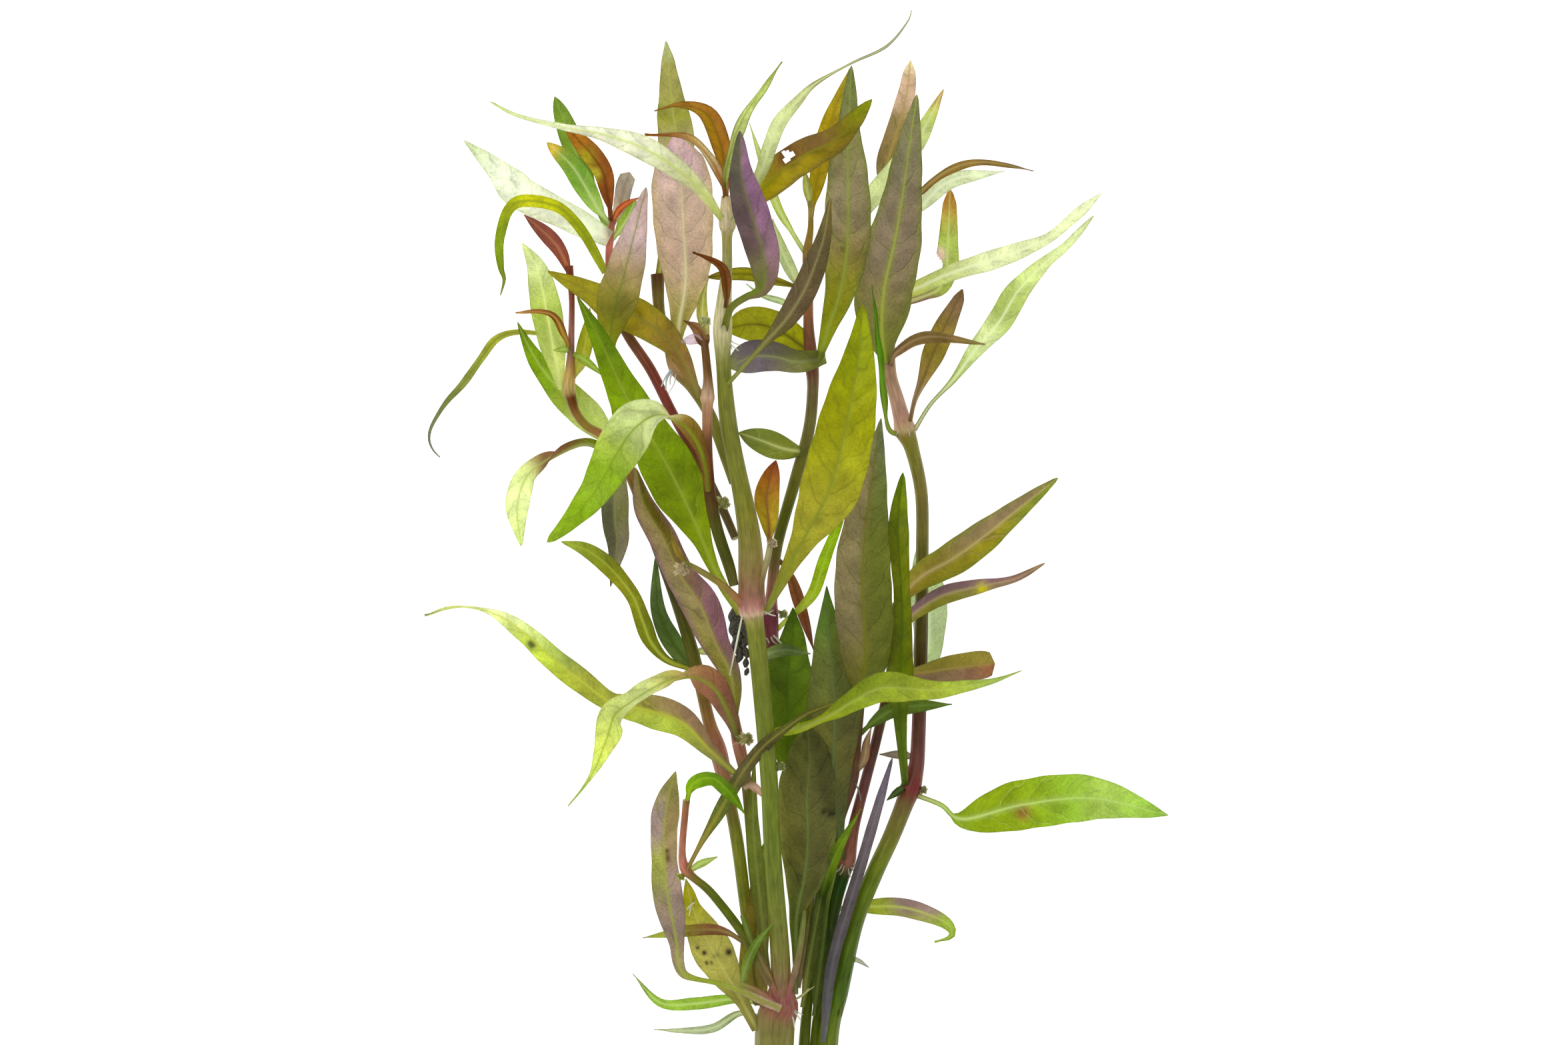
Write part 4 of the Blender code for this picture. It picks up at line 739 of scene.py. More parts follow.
stem("stem_inner_right", [
    (6, -28, 1.24, 1.4, "#6A7A24"), (7, 0, 3, 1.1, "#64701E"), (9.3, 15, 5.5, 1.1, "#54641A"),
    (11.4, 30, 8.2, 1.3, "#44581A"), (13.4, 38, 10.2, 1.5, "#3E5418"),
    (14.2, 41, 11, 1.9, "#B07A6A"), (15, 45, 11.6, 1.5, "#9A6A58"), (16, 50, 12.2, 1.25, "#8A5A48"),
    (18.6, 60, 13.2, 1.15, "#74504A"), (21.2, 70, 14.6, 1.1, "#6A4A3A"),
    (24, 83, 17.4, 1.1, "#6A5A30"), (25.4, 99.5, 21, 0.9, "#7A6A3A"),
], [
    blade(6.6, [(24.3, 83.4, 18), (30.2, 83.6, 20), (38.5, 84.8, 19.4), (47.6, 85.8, 17.4)],
          "#7A7A30 #8A8434 #8C8430 #8C8430 #8A7E34", "#A8964E",
          right="#7A7040 #84704E #84704E #8A6A4E #8A5A34", peak=0.75, point=1),
    blade(4.3, [(11.6, 30.2, 7.6), (17.5, 30.6, 4.4), (27, 30.5, 3.8), (36, 27.4, 3.4),
          (38, 24.2, 3, 30), (34, 22.8, 2.4, 60)],
          "#8A9A3A #98A62E #98A62E #9CA83A #8AA83A #8AA838", "#B9C464",
          marks=[(28, 32.2, 3.4, "#8A7470"), (33, 31.4, 3, "#8E7A70")]),
])
stem("stem_inner", [
    (3.2, -28, 1.15, 1.3, "#6E7A2C"), (4.6, 0, 3.6, 1.2, "#667024"), (5.9, 14, 5.6, 1, "#54681C"),
    (7.6, 31, 7.6, 1, "#4A5E18"), (10.2, 43, 9.2, 1, "#5A5A24"), (13.2, 52, 12.2, 1, "#6E5A3E"),
    (15.3, 60, 15, 1.5, "#846048"), (16.6, 68, 17.4, 0.85, "#74583C"),
    (17.4, 77.5, 21, 0.85, "#6E6430"),
], [
    blade(2.8, [(7.4, 28.5, 7.6), (9.2, 35.5, 12.5), (12, 43.5, 18.4), (17.3, 53, 20)],
          "#3E5A10 #5A7A14 #7A9A18 #7A9A18 #84A424", "#8AAA34"),
    blade(3.6, [(16.8, 69.5, 17.8), (20.5, 72.8, 20), (26, 75.8, 20.6), (38, 76.6, 18)],
          "#4A6A1C #4F6A20 #56741E #5C7A22 #4E6A1C", "#7A9440"),
    blade(2, [(15.2, 59.8, 15.1), (18, 64, 17.8), (18.6, 68, 18.6), (20, 72, 18, 40)],
          "#A8906A #A88A64 #9A7E58", "#C5B088"),
])


# The fan of leaves at the upper left.
# Lance-shaped blades on short stalks, the youngest almost white against the light. One lies
# folded over the stem in a low arch, and one hangs from its arch as a narrow curl.


ROOTED = 0.9


def leaf(node, slot_name, width, points, seen, rib, **shape):
    """A large leaf, whose foot runs on into the stem that carries it."""
    made = blade(width, points, seen, rib, rooted=ROOTED, **shape)
    return piece(node + "_blade", [made], (node,))


leaf("leaf_top_left_strap", "pale", 5.5,
     [(-14.4, 186.4, 39.4), (-20, 193.7, 40.4), (-30, 200.9, 40), (-40, 204.7, 37.5),
     (-50, 206.6, 35), (-60, 209.2, 32.5), (-66.1, 212.3, 31)],
     "#C9D27A #DCE6A4 #E2ECB8 #E6EFC8 #EEF4DC #F0F4DE #F0F5E2 #EEF4DC #E8F0D0 #D8E4B4 #C0D090",
     "#CFE08A", widths=(1.4, 2.4, 3.4, 4.5, 5.5, 5.5, 4, 2.7, 1.8, 1.3, 1, 0.9, 0.4),
     edge="#DCE7B0")
leaf("leaf_top_left_pale", "pale", 8.2,
     [(-40.1, 181.9, 25.4), (-48, 186.1, 25.6), (-56, 190, 23.8), (-60, 192.4, 22.8),
     (-65, 197.5, 20.6), (-72.2, 203.8, 18)],
     "#E0E8D0 #E2EAD2 #E8EED8 #E4ECD4 #DEE8CC #B9CC88", "#EEF5DA", widths=(3.5, 5.6, 6.3, 6.9, 7.4,
     7.6, 4.9, 2.9, 0.3), edge="#DCE7B8")
leaf("leaf_top_left_arch", "lime", 3.4,
     [(-40.6, 174.6, 24.8), (-44.3, 181.5, 29.6), (-47.5, 185.8, 31.6), (-50.5, 188.4, 31.8),
     (-54, 189.6, 31.6), (-57.5, 190, 31.2), (-60.3, 189.6, 29.6), (-62.3, 187.5, 28),
     (-63.5, 184, 25.6), (-64.2, 180, 22.6), (-63.8, 175, 19.6), (-63.1, 172.4, 18.2),
     (-64, 168.8, 16)],
     "#A8B43E #A0AA28 #A9B01A #C7C81E #C9CA22 #8E9C1E #7D9424 #6F8320 #7A8A50", "#8F9A30",
     widths=(1.6, 2, 2.2, 2.3, 2.4, 2.6, 2.9, 2.6, 2.4, 2.3, 2.1, 1.6, 0.8, 0.3), petiole=0.05,
     arch=True)
leaf("leaf_upper_left_pale", "pale", 7.4,
     [(-50.4, 148.6, 23.4), (-51.8, 156, 21.6), (-53.2, 163.5, 19.4), (-54.8, 171.5, 17),
     (-56.2, 176, 15.6), (-59.1, 180.6, 14)],
     "#D6E08A #C4D078 #B4C868 #A4BC50 #B4C670 #C8D89A #D3E39A", "#E4EDA0",
     widths=(1.3, 3.6, 6.2, 7.1, 6.9, 5.7, 3.8, 0.4))
leaf("leaf_upper_left_green", "green", 8,
     [(-38.8, 135.8, 19.2), (-41.5, 138.8, 18.6), (-44.6, 142, 17.9), (-49.5, 146.6, 18),
     (-53.4, 150.8, 18.2), (-56.3, 155, 18.5), (-58.4, 159, 18.8), (-60.1, 162.8, 19)],
     "#B9C47A #A9BC64 #A9BC64 #8AA034 #74961A #6E900E #6E900E #5E7A14", "#A9BC5E", widths=(1.2, 5.2,
     7.3, 7.5, 6.3, 4.4, 3.9, 2.1, 0.3))
leaf("leaf_far_left_curl", "olive", 2,
     [(-49, 156.6, 22), (-53, 159.6, 16.4), (-60, 160.6, 14.8), (-65, 159, 13),
     (-68.5, 154.5, 11.4), (-72.5, 149, 8.8), (-76.5, 144.6, 6.6), (-79.6, 139.6, 4),
     (-80.3, 136.5, 3), (-79.4, 134, 1.6), (-77.8, 132.3, 0.4)],
     "#9A9A1E #B8B43C #A8AE50 #9AA23C #8E9844 #7F8A48 #6E7850 #7A8470 #8A8FA0", "#7A7A2A",
     widths=(1.2, 1.2, 1, 1.3, 2, 1.6, 1.8, 1.3, 0.9, 0.6, 0.3), petiole=0.05, arch=True)
leaf("leaf_upper_left_arch", "pale", 6,
     [(-39.6, 133.4, 21.4, 150), (-44, 135.6, 24.6, 140), (-49.5, 134, 26, 110),
     (-53.6, 131.6, 25, 50), (-58, 128, 21.5, 15), (-60.2, 121, 17), (-59.3, 112.2, 13)],
     "#7A8A18 #6E7A14 #7E5A3A #8A6A44 #DCE9A0 #E0EBAC #DCE9A0 #D0E090", "#A9B46A",
     widths=(1.6, 2.3, 3.2, 4, 4.4, 5.6, 5.6, 3.4, 0.4), arch=True)
leaf("leaf_left_mauve_upright", "mauve", 9.4,
     [(-37.3, 135, 23), (-38.8, 149, 26.6), (-38.8, 162, 32.6), (-35.5, 175, 33.6), (-31, 193, 32)],
     "#6E6E14 #8A8A1A #93961E #93961E #93961E #96962A #9A9440 #B4A07A #CDB8B8 #CDB8B8 #CDB4B4",
     "#7A8A30", widths=(1.2, 1.2, 1.3, 1.4, 1.6, 2.6, 7, 9.4, 8.7, 8, 5.4, 3.2, 0.9), far=0.2,
     petiole=0.25)
leaf("leaf_left_olive_slant", "olive", 8.2,
     [(-19.5, 146.6, 38.6), (-22.3, 153.4, 36.8), (-26, 158.8, 34), (-32, 163.3, 30.4),
     (-38, 166, 28.4), (-43.5, 169.4, 27.2), (-53.2, 174.2, 26)],
     "#8A7A50 #93703F #A08A30 #A0901E #A09A20 #A09A20 #A8A01E", "#8F8A3A", widths=(1.4, 2.6, 4.4,
     6.4, 7.8, 8.2, 7.4, 5.2, 3.2, 0.5), edge="#8A8A1E")


# The fan of leaves at the top.
# The tallest leaves of the bunch. Several turn their downy pink and purple undersides up, with a
# raised pale midrib, and their tips are the thinnest and palest part.

leaf("leaf_top_pink", "pink", 13.7,
     [(-23.9, 154.9, 30.9), (-23.6, 162, 32.4), (-22.1, 172, 33.2), (-22.6, 184, 33.2),
     (-23.2, 196, 32.2), (-24.3, 205.2, 31)],
     "#8A8A28 #8E8A30 #A89A60 #BDA58C #C5AA9A #CBB2A4 #CDB4AC #D6BAC4 #D2B0BC", "#E2DDB4", roll=180,
     widths=(1.4, 1.8, 4.9, 8.4, 10.7, 12.8, 13.6, 13.7, 13.1, 11, 4.5), far=0.18, edge="#B9A67A")
leaf("leaf_top_tall_behind", "olive", 8.4,
     [(-28, 174.1, 27), (-25, 187, 25), (-24.3, 203, 19), (-25.3, 212, 12), (-26.7, 226.7, 0.3)],
     "#7A7A28 #8A8A3A #A09458 #B4A98A #A8A070 #8E9430 #8F8F4A #8F8F4A #B4BE8A", "#A9AE5A",
     widths=(1.4, 3, 5.5, 7.3, 8.2, 8.4, 7.9, 6, 4.6, 3.1, 0.3))
leaf("leaf_top_brown_arch", "brown", 4.7,
     [(-13.1, 191.6, 36.8), (-13.3, 198, 35.4), (-14.3, 203, 35.5), (-16.5, 208.4, 35.6, 11),
     (-19.5, 210.8, 35.6, 28), (-24, 211.4, 35.2, 34), (-29.2, 210.3, 34.6, 40)],
     "#C9A25A #A0761E #A07A1A #A8861A #A08018 #9A7A1E #A08A3A", "#7A5A14",
     widths=(1.2, 1.7, 3.2, 4.4, 4.7, 4, 1.9, 0.9, 0.3),
     right="#B98A3A #A8741E #A0701E #A0701C #98701C #9A7A2A", edge="#7A4A14")
leaf("leaf_top_purple_cup", "purple", 8.4,
     [(-13.2, 161.6, 40.4), (-12, 165.6, 42), (-8.5, 168.2, 44), (-5.2, 169.6, 45.4),
     (-4.2, 173.5, 46.4), (-4.8, 178.5, 47.6), (-6.4, 184, 48.4), (-8.2, 190, 48.6),
     (-9.6, 196, 48), (-9.9, 205.5, 46)],
     "#8A8A3A #8A8A3A #7A8A2A #7A7A4A #6E5A5E #6A5A60 #66605A #5E5E50 #6A6A5A", "#7A8A3A",
     widths=(1.6, 1.6, 1.6, 1.8, 5.4, 6.8, 7.8, 8.2, 8.1, 6.6, 4.6, 3, 1),
     right="#8A8A3A #8A8A3A #8A7A5A #9A7A8A #A07A98 #9C7498 #9A7498 #7A6A70", cup=24, petiole=0.12)
leaf("leaf_top_pale_thread", "pale", 3.8,
     [(-11, 186, 39.6), (-5.5, 195.5, 43), (-3.2, 202, 42.6), (-1, 207.4, 41), (3, 212.2, 39.4),
     (7, 216.2, 37.6), (15, 220.8, 34.4), (23, 224.7, 31.4), (27.8, 230.3, 29.4), (28.7, 233, 29)],
     "#B4C880 #C5D58A #C9D890 #D0DEA0 #D3E0A8 #CFDCA0 #C5CC90 "
     "#9A9A5E #8A8A50 #7A7448 #5E5A3A #6A6A48 #9A9A7A", "#E0EAB4", widths=(1.2, 1.6, 2.4, 3.3, 3.5,
     3, 1.9, 0.9, 0.5, 0.6, 0.7, 0.5, 0.2))
leaf("leaf_top_olive_slant", "olive", 8.4,
     [(-10.2, 185.3, 37.8), (-5.6, 191.5, 38.6), (0, 197, 39.4), (6, 200.8, 39.4), (12, 204, 38.2),
     (19.8, 212.8, 35)],
     "#8A7A2A #A59414 #A0961A #8E7A22 #7E6428 #7A6230 #86761E #8E960E #8A9E0E", "#8A8A1E",
     widths=(1.2, 2.6, 6.6, 7.9, 7.8, 6.6, 5.2, 3.9, 0.8),
     right="#8A7A2A #A59414 #A89C08 #A89A08 #9A8A10 #8A7A18 #8A8C10 #8E9E08", edge="#7B6A30",
     spacing=0.7, side_cells=9, holes=[(0.8, 200, 1.3)], marks=[(0.8, 200, 2.3, "#6A4A1E")])
leaf("leaf_top_right_tall", "mauve", 10.6,
     [(8.1, 155.2, 32.6), (10.2, 162, 33.2), (12.7, 170, 33.4), (14.2, 180, 32.6), (14.4, 192, 31),
     (14.4, 204, 28.4), (15.2, 220.5, 24.6)],
     "#8A9418 #8E9216 #8E8E1C #8E8830 #8E7E4A #94846A "
     "#94866E #8E8266 #868058 #7A7A54 #7A8050 #6E7446", "#9AA84A", roll=180, widths=(1.4, 2.8, 4.8,
     7, 8.7, 9.7, 10.6, 10.5, 9.2, 7.9, 5.6, 4.2, 2.7, 0.5), edge="#7A8040", petiole=0.08)
leaf("leaf_front_brown_slant", "mauve", 5.8,
     [(-12, 149.4, 40), (-8, 153.8, 42), (-4, 158.2, 43.2), (0.6, 163.4, 44.2), (4.4, 169.4, 44.4),
     (7, 175.6, 44), (9, 182, 43.4), (10.4, 190.5, 42.8)],
     "#8FA52A #8F9A2A #7A7A30 #7A6E40 #6E5C48 #6E5A46 #6E5C44 #6E5E44 #76683E #7A6A3A", "#A8A26E",
     roll=180, widths=(1, 1, 1.1, 2.2, 4.6, 5.7, 5.7, 5, 3.8, 2.2, 0.4), petiole=0.2)
leaf("leaf_middle_yellow_olive", "olive", 8.6,
     [(4.2, 157.2, 30.2), (-2, 161.2, 31), (-8, 162.2, 31.4), (-13.5, 160.8, 31.6)],
     "#8C9010 #8C9010 #93961A #8C9010", "#4A4A10", widths=(5.5, 7, 7.5, 8.2, 8.6, 6, 2),
     petiole=0.04)
leaf("leaf_middle_grey_purple", "purple", 8,
     [(8.5, 154.6, 32.7), (3, 153.8, 34), (-2, 154.9, 35), (-7, 154.9, 35.4), (-12.9, 152.6, 35.6)],
     "#7A8A3A #7A8238 #767A4A #6E6A60 #66606A #6A6468 #7A8A3A", "#9AA46A",
     widths=(2.5, 4.6, 5, 5.8, 7, 8, 6.5, 1), petiole=0.04)
leaf("leaf_right_grey_tall", "mauve", 13.4,
     [(22.8, 154.6, 23.2), (22, 161, 28), (22.5, 170, 30), (24.7, 180, 31), (26.5, 190, 30.6),
     (28, 201, 29.4), (29.9, 213.9, 28)],
     "#6F7034 #74743A #7E764A #84745A #8A7868 #8C7A6C #8A7A6A #86786A #827866 #7E785E #7A7A58",
     "#A9B84A", roll=180, widths=(1.5, 6.4, 11, 13.2, 13.4, 12.6, 11.6, 10, 8.3, 6.9, 5.2, 3.2,
     0.6), edge="#7A8038", petiole=0.06)
leaf("leaf_right_brown_behind", "brown", 5.8,
     [(25.8, 186.6, 21.7), (23.4, 197, 17.6), (25.8, 207, 11), (27.8, 215, 5), (28.6, 222, 0.4)],
     "#84704A #84704A #84704A #84704A #8A7450 #8E7A56 #CDB09A #CDB09A #E4D8B4", "#A9964A", roll=180,
     widths=(1.2, 3, 4.6, 5.2, 5.4, 5.2, 4.8, 4.4, 4, 3.4, 2))
leaf("leaf_right_pale_behind", "pale", 4.8,
     [(6.5, 179.2, 30.6), (14, 184.4, 27.8), (23, 194.6, 25.6), (30, 203.5, 23.6), (36, 215.3, 21)],
     "#B9CC8A #C9D69A #D3E2A4 #D3E2A4 #D3E2A4 #C9D89A #BCCC70 #B9863A", "#DDE8B4",
     widths=(1.2, 2.4, 3.6, 4.4, 4.8, 4.6, 4, 2.6, 0.3))


# The leaves on the right.
# Long narrow leaves that stand away from the stem, from nearly white to mauve and dark green,
# and the wide lime one in front that hides the middle of the bunch.

leaf("leaf_right_orange_tip", "green", 5.8,
     [(25.9, 166.8, 20.5), (31.5, 168.6, 18.6), (35.2, 170.6, 17.6), (36.6, 175, 16.6),
     (37.1, 182, 15.4), (37.5, 192.8, 14)],
     "#8A6A50 #8A6A58 #8A6E58 #A0B050 #A4B858 #A4B858 #A4B858 #A9A848 #B08A3A #B4782A", "#C5D48A",
     widths=(1.2, 1.8, 2, 4.4, 5.4, 4.8, 4, 3.3, 2.6), spacing=0.6, side_cells=8,
     holes=[(34.3, 176.6, 1.2), (34.9, 175.2, 1.1)], marks=[(35, 178, 1.4, "#DCC4B0")])
leaf("leaf_right_pale_upper", "pale", 4.6,
     [(25.6, 168.2, 23.6), (30, 170.4, 23.8), (38, 174, 23.2), (46, 176.5, 21.6), (54, 179.3, 18.6),
     (60, 182, 16), (65, 186.2, 13.6), (71.7, 192, 11)],
     "#B9C440 #CBD684 #DDE6B6 #DDE6B6 #DDE6B6 #E0EAC0", "#E9F2CC", widths=(1.2, 3.4, 3.5, 3.9, 4.6,
     4.3, 3.4, 2.3, 2.4, 2.5, 0.3))
leaf("leaf_right_pale_lower", "pale", 7,
     [(29.9, 139.2, 20.4), (33, 144.2, 22), (38, 149.6, 23), (43, 156.4, 22), (48.6, 163, 20),
     (52.6, 169.6, 17.6), (58.4, 175.8, 14.8), (64, 180.4, 11.6), (70, 187, 8)],
     "#8A7A4A #6A7A2A #7A8A34 #A9BE6A #C5D694 #C9D89A #BDCE7E "
     "#B9CC74 #C5D68C #CBDA98 #D0DEA4 #D3E0A8 #B9C88A", "#E4EEC0", widths=(1, 0.9, 0.9, 1.6, 2.9,
     4.3, 5.7, 5.9, 5.1, 3.9, 2.6, 1.9, 1.7, 0.3), petiole=0.22, marks=[(50, 166, 3.2, "#A9BE66"),
     (52, 162.6, 2.4, "#B0C470")])
leaf("leaf_right_brown_small", "brown", 5.2,
     [(28.6, 141.2, 22), (29.4, 145, 23.4), (31.2, 149.5, 24.8), (33.8, 156, 25.8),
     (36.6, 162.4, 25.6), (38.9, 167, 24.6), (40.2, 170.2, 24)],
     "#C0A888 #C0A890 #9A8444 #857A25 #8A7A2C #7B6640 #7B6040", "#6A5A28",
     widths=(1, 1, 1.6, 3.4, 5.2, 5.2, 4.5, 3.4, 1.6), petiole=0.2)
leaf("leaf_front_lime", "lime", 14.1,
     [(-3.7, 98.2, 34.2), (-1.2, 103, 36.4), (1.6, 108.6, 39.4), (5.6, 116, 42), (10, 124.4, 44.6),
     (13, 135, 46.6), (15.2, 145.5, 48), (16.8, 155, 47.6), (17.7, 166.4, 46.6)],
     "#A9A86A #9A9A40 #A0A030 #A8A830 #AEAC34 #AEAC30 #A8A824 "
     "#A2A61A #9EA210 #9CA208 #9AA406 #9AA806 #9CAA06 #98A80A", "#8E9A34", widths=(1.5, 1.9, 2.9, 4,
     6.2, 9.6, 12.4, 13.7, 14.1, 13.4, 12.2, 11, 9.1, 6.2, 3.6, 1.2))
leaf("leaf_centre_mauve_wide", "mauve", 13.3,
     [(17.7, 78.1, 21.8), (17.9, 79.6, 25.5), (18, 83.5, 30), (18.4, 91, 33), (17.8, 101, 34.6),
     (18, 112, 35.8), (19.4, 124, 35.6), (21.8, 141, 34.4)],
     "#6A6E30 #7A7238 #86785A #86785A #8A7C60 #86785A #7A8468", "#7A7A20", roll=180, widths=(1.4, 5,
     9.4, 11.4, 12.6, 13.4, 13, 12.1, 10.9, 9.4, 7.4, 5.2, 3, 0.4),
     right="#5E6A28 #66692E #6A6E30 #6A6E30 #6A7040 #7A8468", petiole=0.05)
leaf("leaf_right_dark_green", "green", 5.8,
     [(27.3, 59, 15), (26.4, 70, 21.4), (26, 79, 26.6), (26.3, 86, 31), (26.7, 96, 36.4),
     (26.1, 108, 40), (25.7, 118, 40.4), (26.7, 128.8, 40)],
     "#6A7A30 #66781A #5E7410 #5A7008 #5E7204 #606E04 "
     "#5E6E04 #667404 #6A7604 #6A7A04 #6A7E04 #6A8608", "#4A6A08", widths=(1.6, 1.9, 2.4, 3.4, 5.4,
     5.8, 4.6, 3.9, 3.6, 4.4, 4.8, 3.3, 1))
leaf("leaf_right_olive_long", "olive", 7.8,
     [(26.1, 100.6, 21.8), (31, 105.4, 22.4), (38, 109.4, 22.4), (45, 114.4, 20.8), (52, 120, 18.4),
     (61.8, 127.7, 15)],
     "#8A8430 #8A8028 #867E2A #86784A #8A7A54 #8A7A56 #86784E #6E7A2E", "#C0AE7A", widths=(2, 4.8,
     6.9, 7.8, 7.6, 6.8, 5.6, 4.2, 2.6, 0.6),
     right="#8A6A30 #8E8420 #8F8A1A #8A8418 #8A8418 #868A28 #7A8A28 #6E8420", edge="#7A8A1E",
     petiole=0.04)
leaf("leaf_right_mauve_long", "mauve", 4.5,
     [(26.8, 94.6, 20.2), (30, 97.6, 20), (36, 101.2, 19.4), (44, 103.2, 17.8), (52, 104.9, 16),
     (58.9, 108.4, 14.4)],
     "#7E6468 #7E6468 #7E6468 #7E6468 #86685C #8A7A4A", "#B4A27A", widths=(1.6, 2.8, 3.9, 4.3, 4,
     3.3, 2.2, 1.7, 1.4, 0.3), right="#8A8A40 #8A8A28 #8A8A30 #8A7E50 #8A7060 #8A7A4A",
     petiole=0.04, marks=[(44.5, 102.7, 1.2, "#B9B41E")])
leaf("leaf_right_pale_back", "pale", 8.6,
     [(31.4, 83.4, 11.2), (32.8, 92, 8.6), (32.4, 102, 8.4), (30.5, 112.5, 9)],
     "#A9BE86 #A9BE86 #B4C894 #B0C48E #A9BE86", "#DCE8C4",
     widths=(2.5, 6, 6.5, 7, 8.4, 8.6, 7, 4.5, 1), petiole=0.04, ripple=0.6)
leaf("leaf_right_low_green", "green", 11.6,
     [(30.4, 55.8, 12.8), (35.5, 53.8, 13), (40.5, 50.6, 11.6), (54, 53.8, 7), (70, 55.2, 3.6),
     (87, 51.3, 0.3)],
     "#8A7A60 #8FAE2A #86A014 #86A014 #8AA81C #8FB434 #A6C25A #9ABE50 #86AE3A", "#C5D88A",
     petiole=0.16, point=1.6, marks=[(54, 52, 1.5, "#8A6A2A")])
leaf("leaf_low_right_strap", "mauve", 2.8,
     [(8.9, 1, 7.4), (10, 12, 9), (11.4, 20, 10), (14.3, 30, 11.6), (17.3, 40, 13.2),
     (20.2, 50, 15), (24.4, 64.4, 17.4)],
     "#8A8A8A #7A747A #6E6468 #6E6468 #746C74 #7A7284", "#8A8A90",
     widths=(1.2, 2.2, 2.6, 2.8, 2.7, 2.6, 2.4, 2, 0.6), petiole=0.02)


# The leaves on the left.
# Wide green leaves that fall forward over their own nodes, so that their pink undersides show
# near the stem and their upper faces further out.

leaf("leaf_left_arch_front", "lime", 11.2,
     [(-17.2, 125.6, 40.4, 180), (-17.8, 131, 42.6, 175), (-19.6, 136, 45.6, 160),
     (-22.6, 139.9, 47.6, 130), (-28, 141.8, 49.4, 60), (-33, 139.2, 48.8, 18), (-37, 134, 46.4, 5),
     (-42.5, 124.5, 40.6), (-48.5, 117.5, 35), (-53.3, 113.1, 31)],
     "#93602E #8A5A2A #8A6A2A #A88A40 #E0E8B4 #DCE8A8 "
     "#B9CC60 #9CBC30 #9CBA3A #8FB020 #94B42A #9CB83A", "#8FA82A", widths=(1.7, 2, 2.8, 3.8, 5.4,
     8.4, 10.8, 11.2, 10.4, 9.4, 8.2, 7, 5.6, 4.2, 2.8, 1.4), petiole=0.06, arch=True)
leaf("leaf_left_big_green", "green", 12.6,
     [(-10.4, 97.8, 31), (-15.4, 106.5, 32.3), (-19.2, 115.6, 33.2), (-23.3, 124.6, 34),
     (-27.9, 133.4, 34.7), (-33.2, 141.8, 35.3), (-37.7, 150.6, 35.6), (-41.8, 159.7, 35.8),
     (-46.5, 168.4, 36)],
     "#A9B45A #9CAA38 #8AA018 #80980C #76900A #708A08 #7A9A10 "
     "#84A018 #80A010 #7FA00C #74980A #6E9408 #5E8008", "#A0B040", widths=(1.4, 2.2, 2.3, 3.7, 7,
     11.1, 12.6, 12, 9.7, 9.1, 7.8, 5.8, 4.4, 2.7, 0.3))
# The dark olive stops towards the tip of its right half are painted shade, where the blade folds
# over on itself.
leaf("leaf_left_mauve_slant", "mauve", 9.4,
     [(-11.3, 74.5, 23.6), (-11.9, 83, 26.7), (-15.6, 90.9, 28.9), (-18.8, 98.9, 29.8),
     (-23.6, 106.1, 30.2), (-27.2, 114, 29.4), (-31.5, 121.5, 28.7), (-33.4, 129.9, 28)],
     "#8A8A3A #8A8A3A #8E8840 #948A50 #9A8A60 #9A8A64 #94805E #94805E #94805E #8A7A50", "#A9A45A",
     roll=180, widths=(1.8, 3.6, 4.4, 5.8, 7.3, 8.7, 7.9, 6.8, 6.5, 6.1, 5.6, 3.5, 0.4),
     right="#7A7A2A #7A7A2A #8A6A6A #8A5A70 #8A6070 #8A6A5A #6A5A2A #5A4A1A #5A5018 #6A5A30",
     edge="#8A5A7A", petiole=0.12)
leaf("leaf_left_hanging_grey", "mauve", 6.6,
     [(-37.2, 130, 22.7), (-38, 124, 23.3), (-38, 118, 23), (-37.5, 113, 22), (-38.2, 108, 20.4),
     (-39.1, 103.2, 19)],
     "#8A8A50 #7A7458 #72704A #7A7060 #7A7062 #6A6258", "#8A8A5A", roll=180, widths=(1.6, 4.4, 5.8,
     6.3, 6, 5.6, 4.8, 3.2, 1.6, 0.3), right="#7A7450 #5A5444 #4E4C3C #504C3E #5A5448 #5E584C")
leaf("leaf_left_olive_bend", "olive", 4.8,
     [(-21.4, 84.7, 18.2), (-26.3, 86.6, 20.1), (-29.9, 90.6, 21.8), (-31.9, 95.6, 23.1),
     (-33.8, 100.6, 24.2), (-36.9, 104.9, 24.2), (-40.7, 108.8, 24.2), (-45.1, 111.7, 22.7),
     (-50.2, 113.3, 21)],
     "#6A6E14 #6E7214 #6E7A0E #747E12 #7A8214 #7F8414 #84901C #8A9A28 #94A43A", "#B4BE4A",
     widths=(1.1, 1.4, 1.8, 3, 3.9, 3.8, 3.2, 3.4, 3.8, 4.1, 3.7, 2.4, 0.3))
leaf("leaf_left_arch_pale", "pale", 7.8,
     [(-10.6, 69.4, 22.8, 180), (-12, 73.5, 25, 178), (-13.6, 77, 27.4, 174),
     (-15.4, 80, 29.2, 168), (-18.2, 82.3, 30.6, 150), (-21.5, 83.2, 31.2, 105),
     (-26, 82.1, 31.2, 62), (-30.5, 79.8, 30.8, 55), (-34.8, 77, 29.8, 55), (-38.2, 74.3, 27.2, 25),
     (-39.4, 70.5, 23.8, 5), (-41, 66, 19.6), (-42.9, 61.5, 15), (-45.5, 57.5, 11.4),
     (-48.9, 53.4, 8)],
     "#8A7A58 #907058 #9A6E58 #A8745A #B08A60 #C8C470 #D8E09C #D8E29A "
     "#D3DE8A #D0DC7A #CFD870 #CFDC72 #CBD878 #B4CC7A #A9BC6A", "#93A83A", widths=(1.6, 2.8, 4.8,
     6.2, 6.8, 7, 6.8, 6.6, 6.2, 6.4, 6.6, 5.4, 3.4, 1.9, 0.8, 0.5, 0.3), petiole=0.06, arch=True)
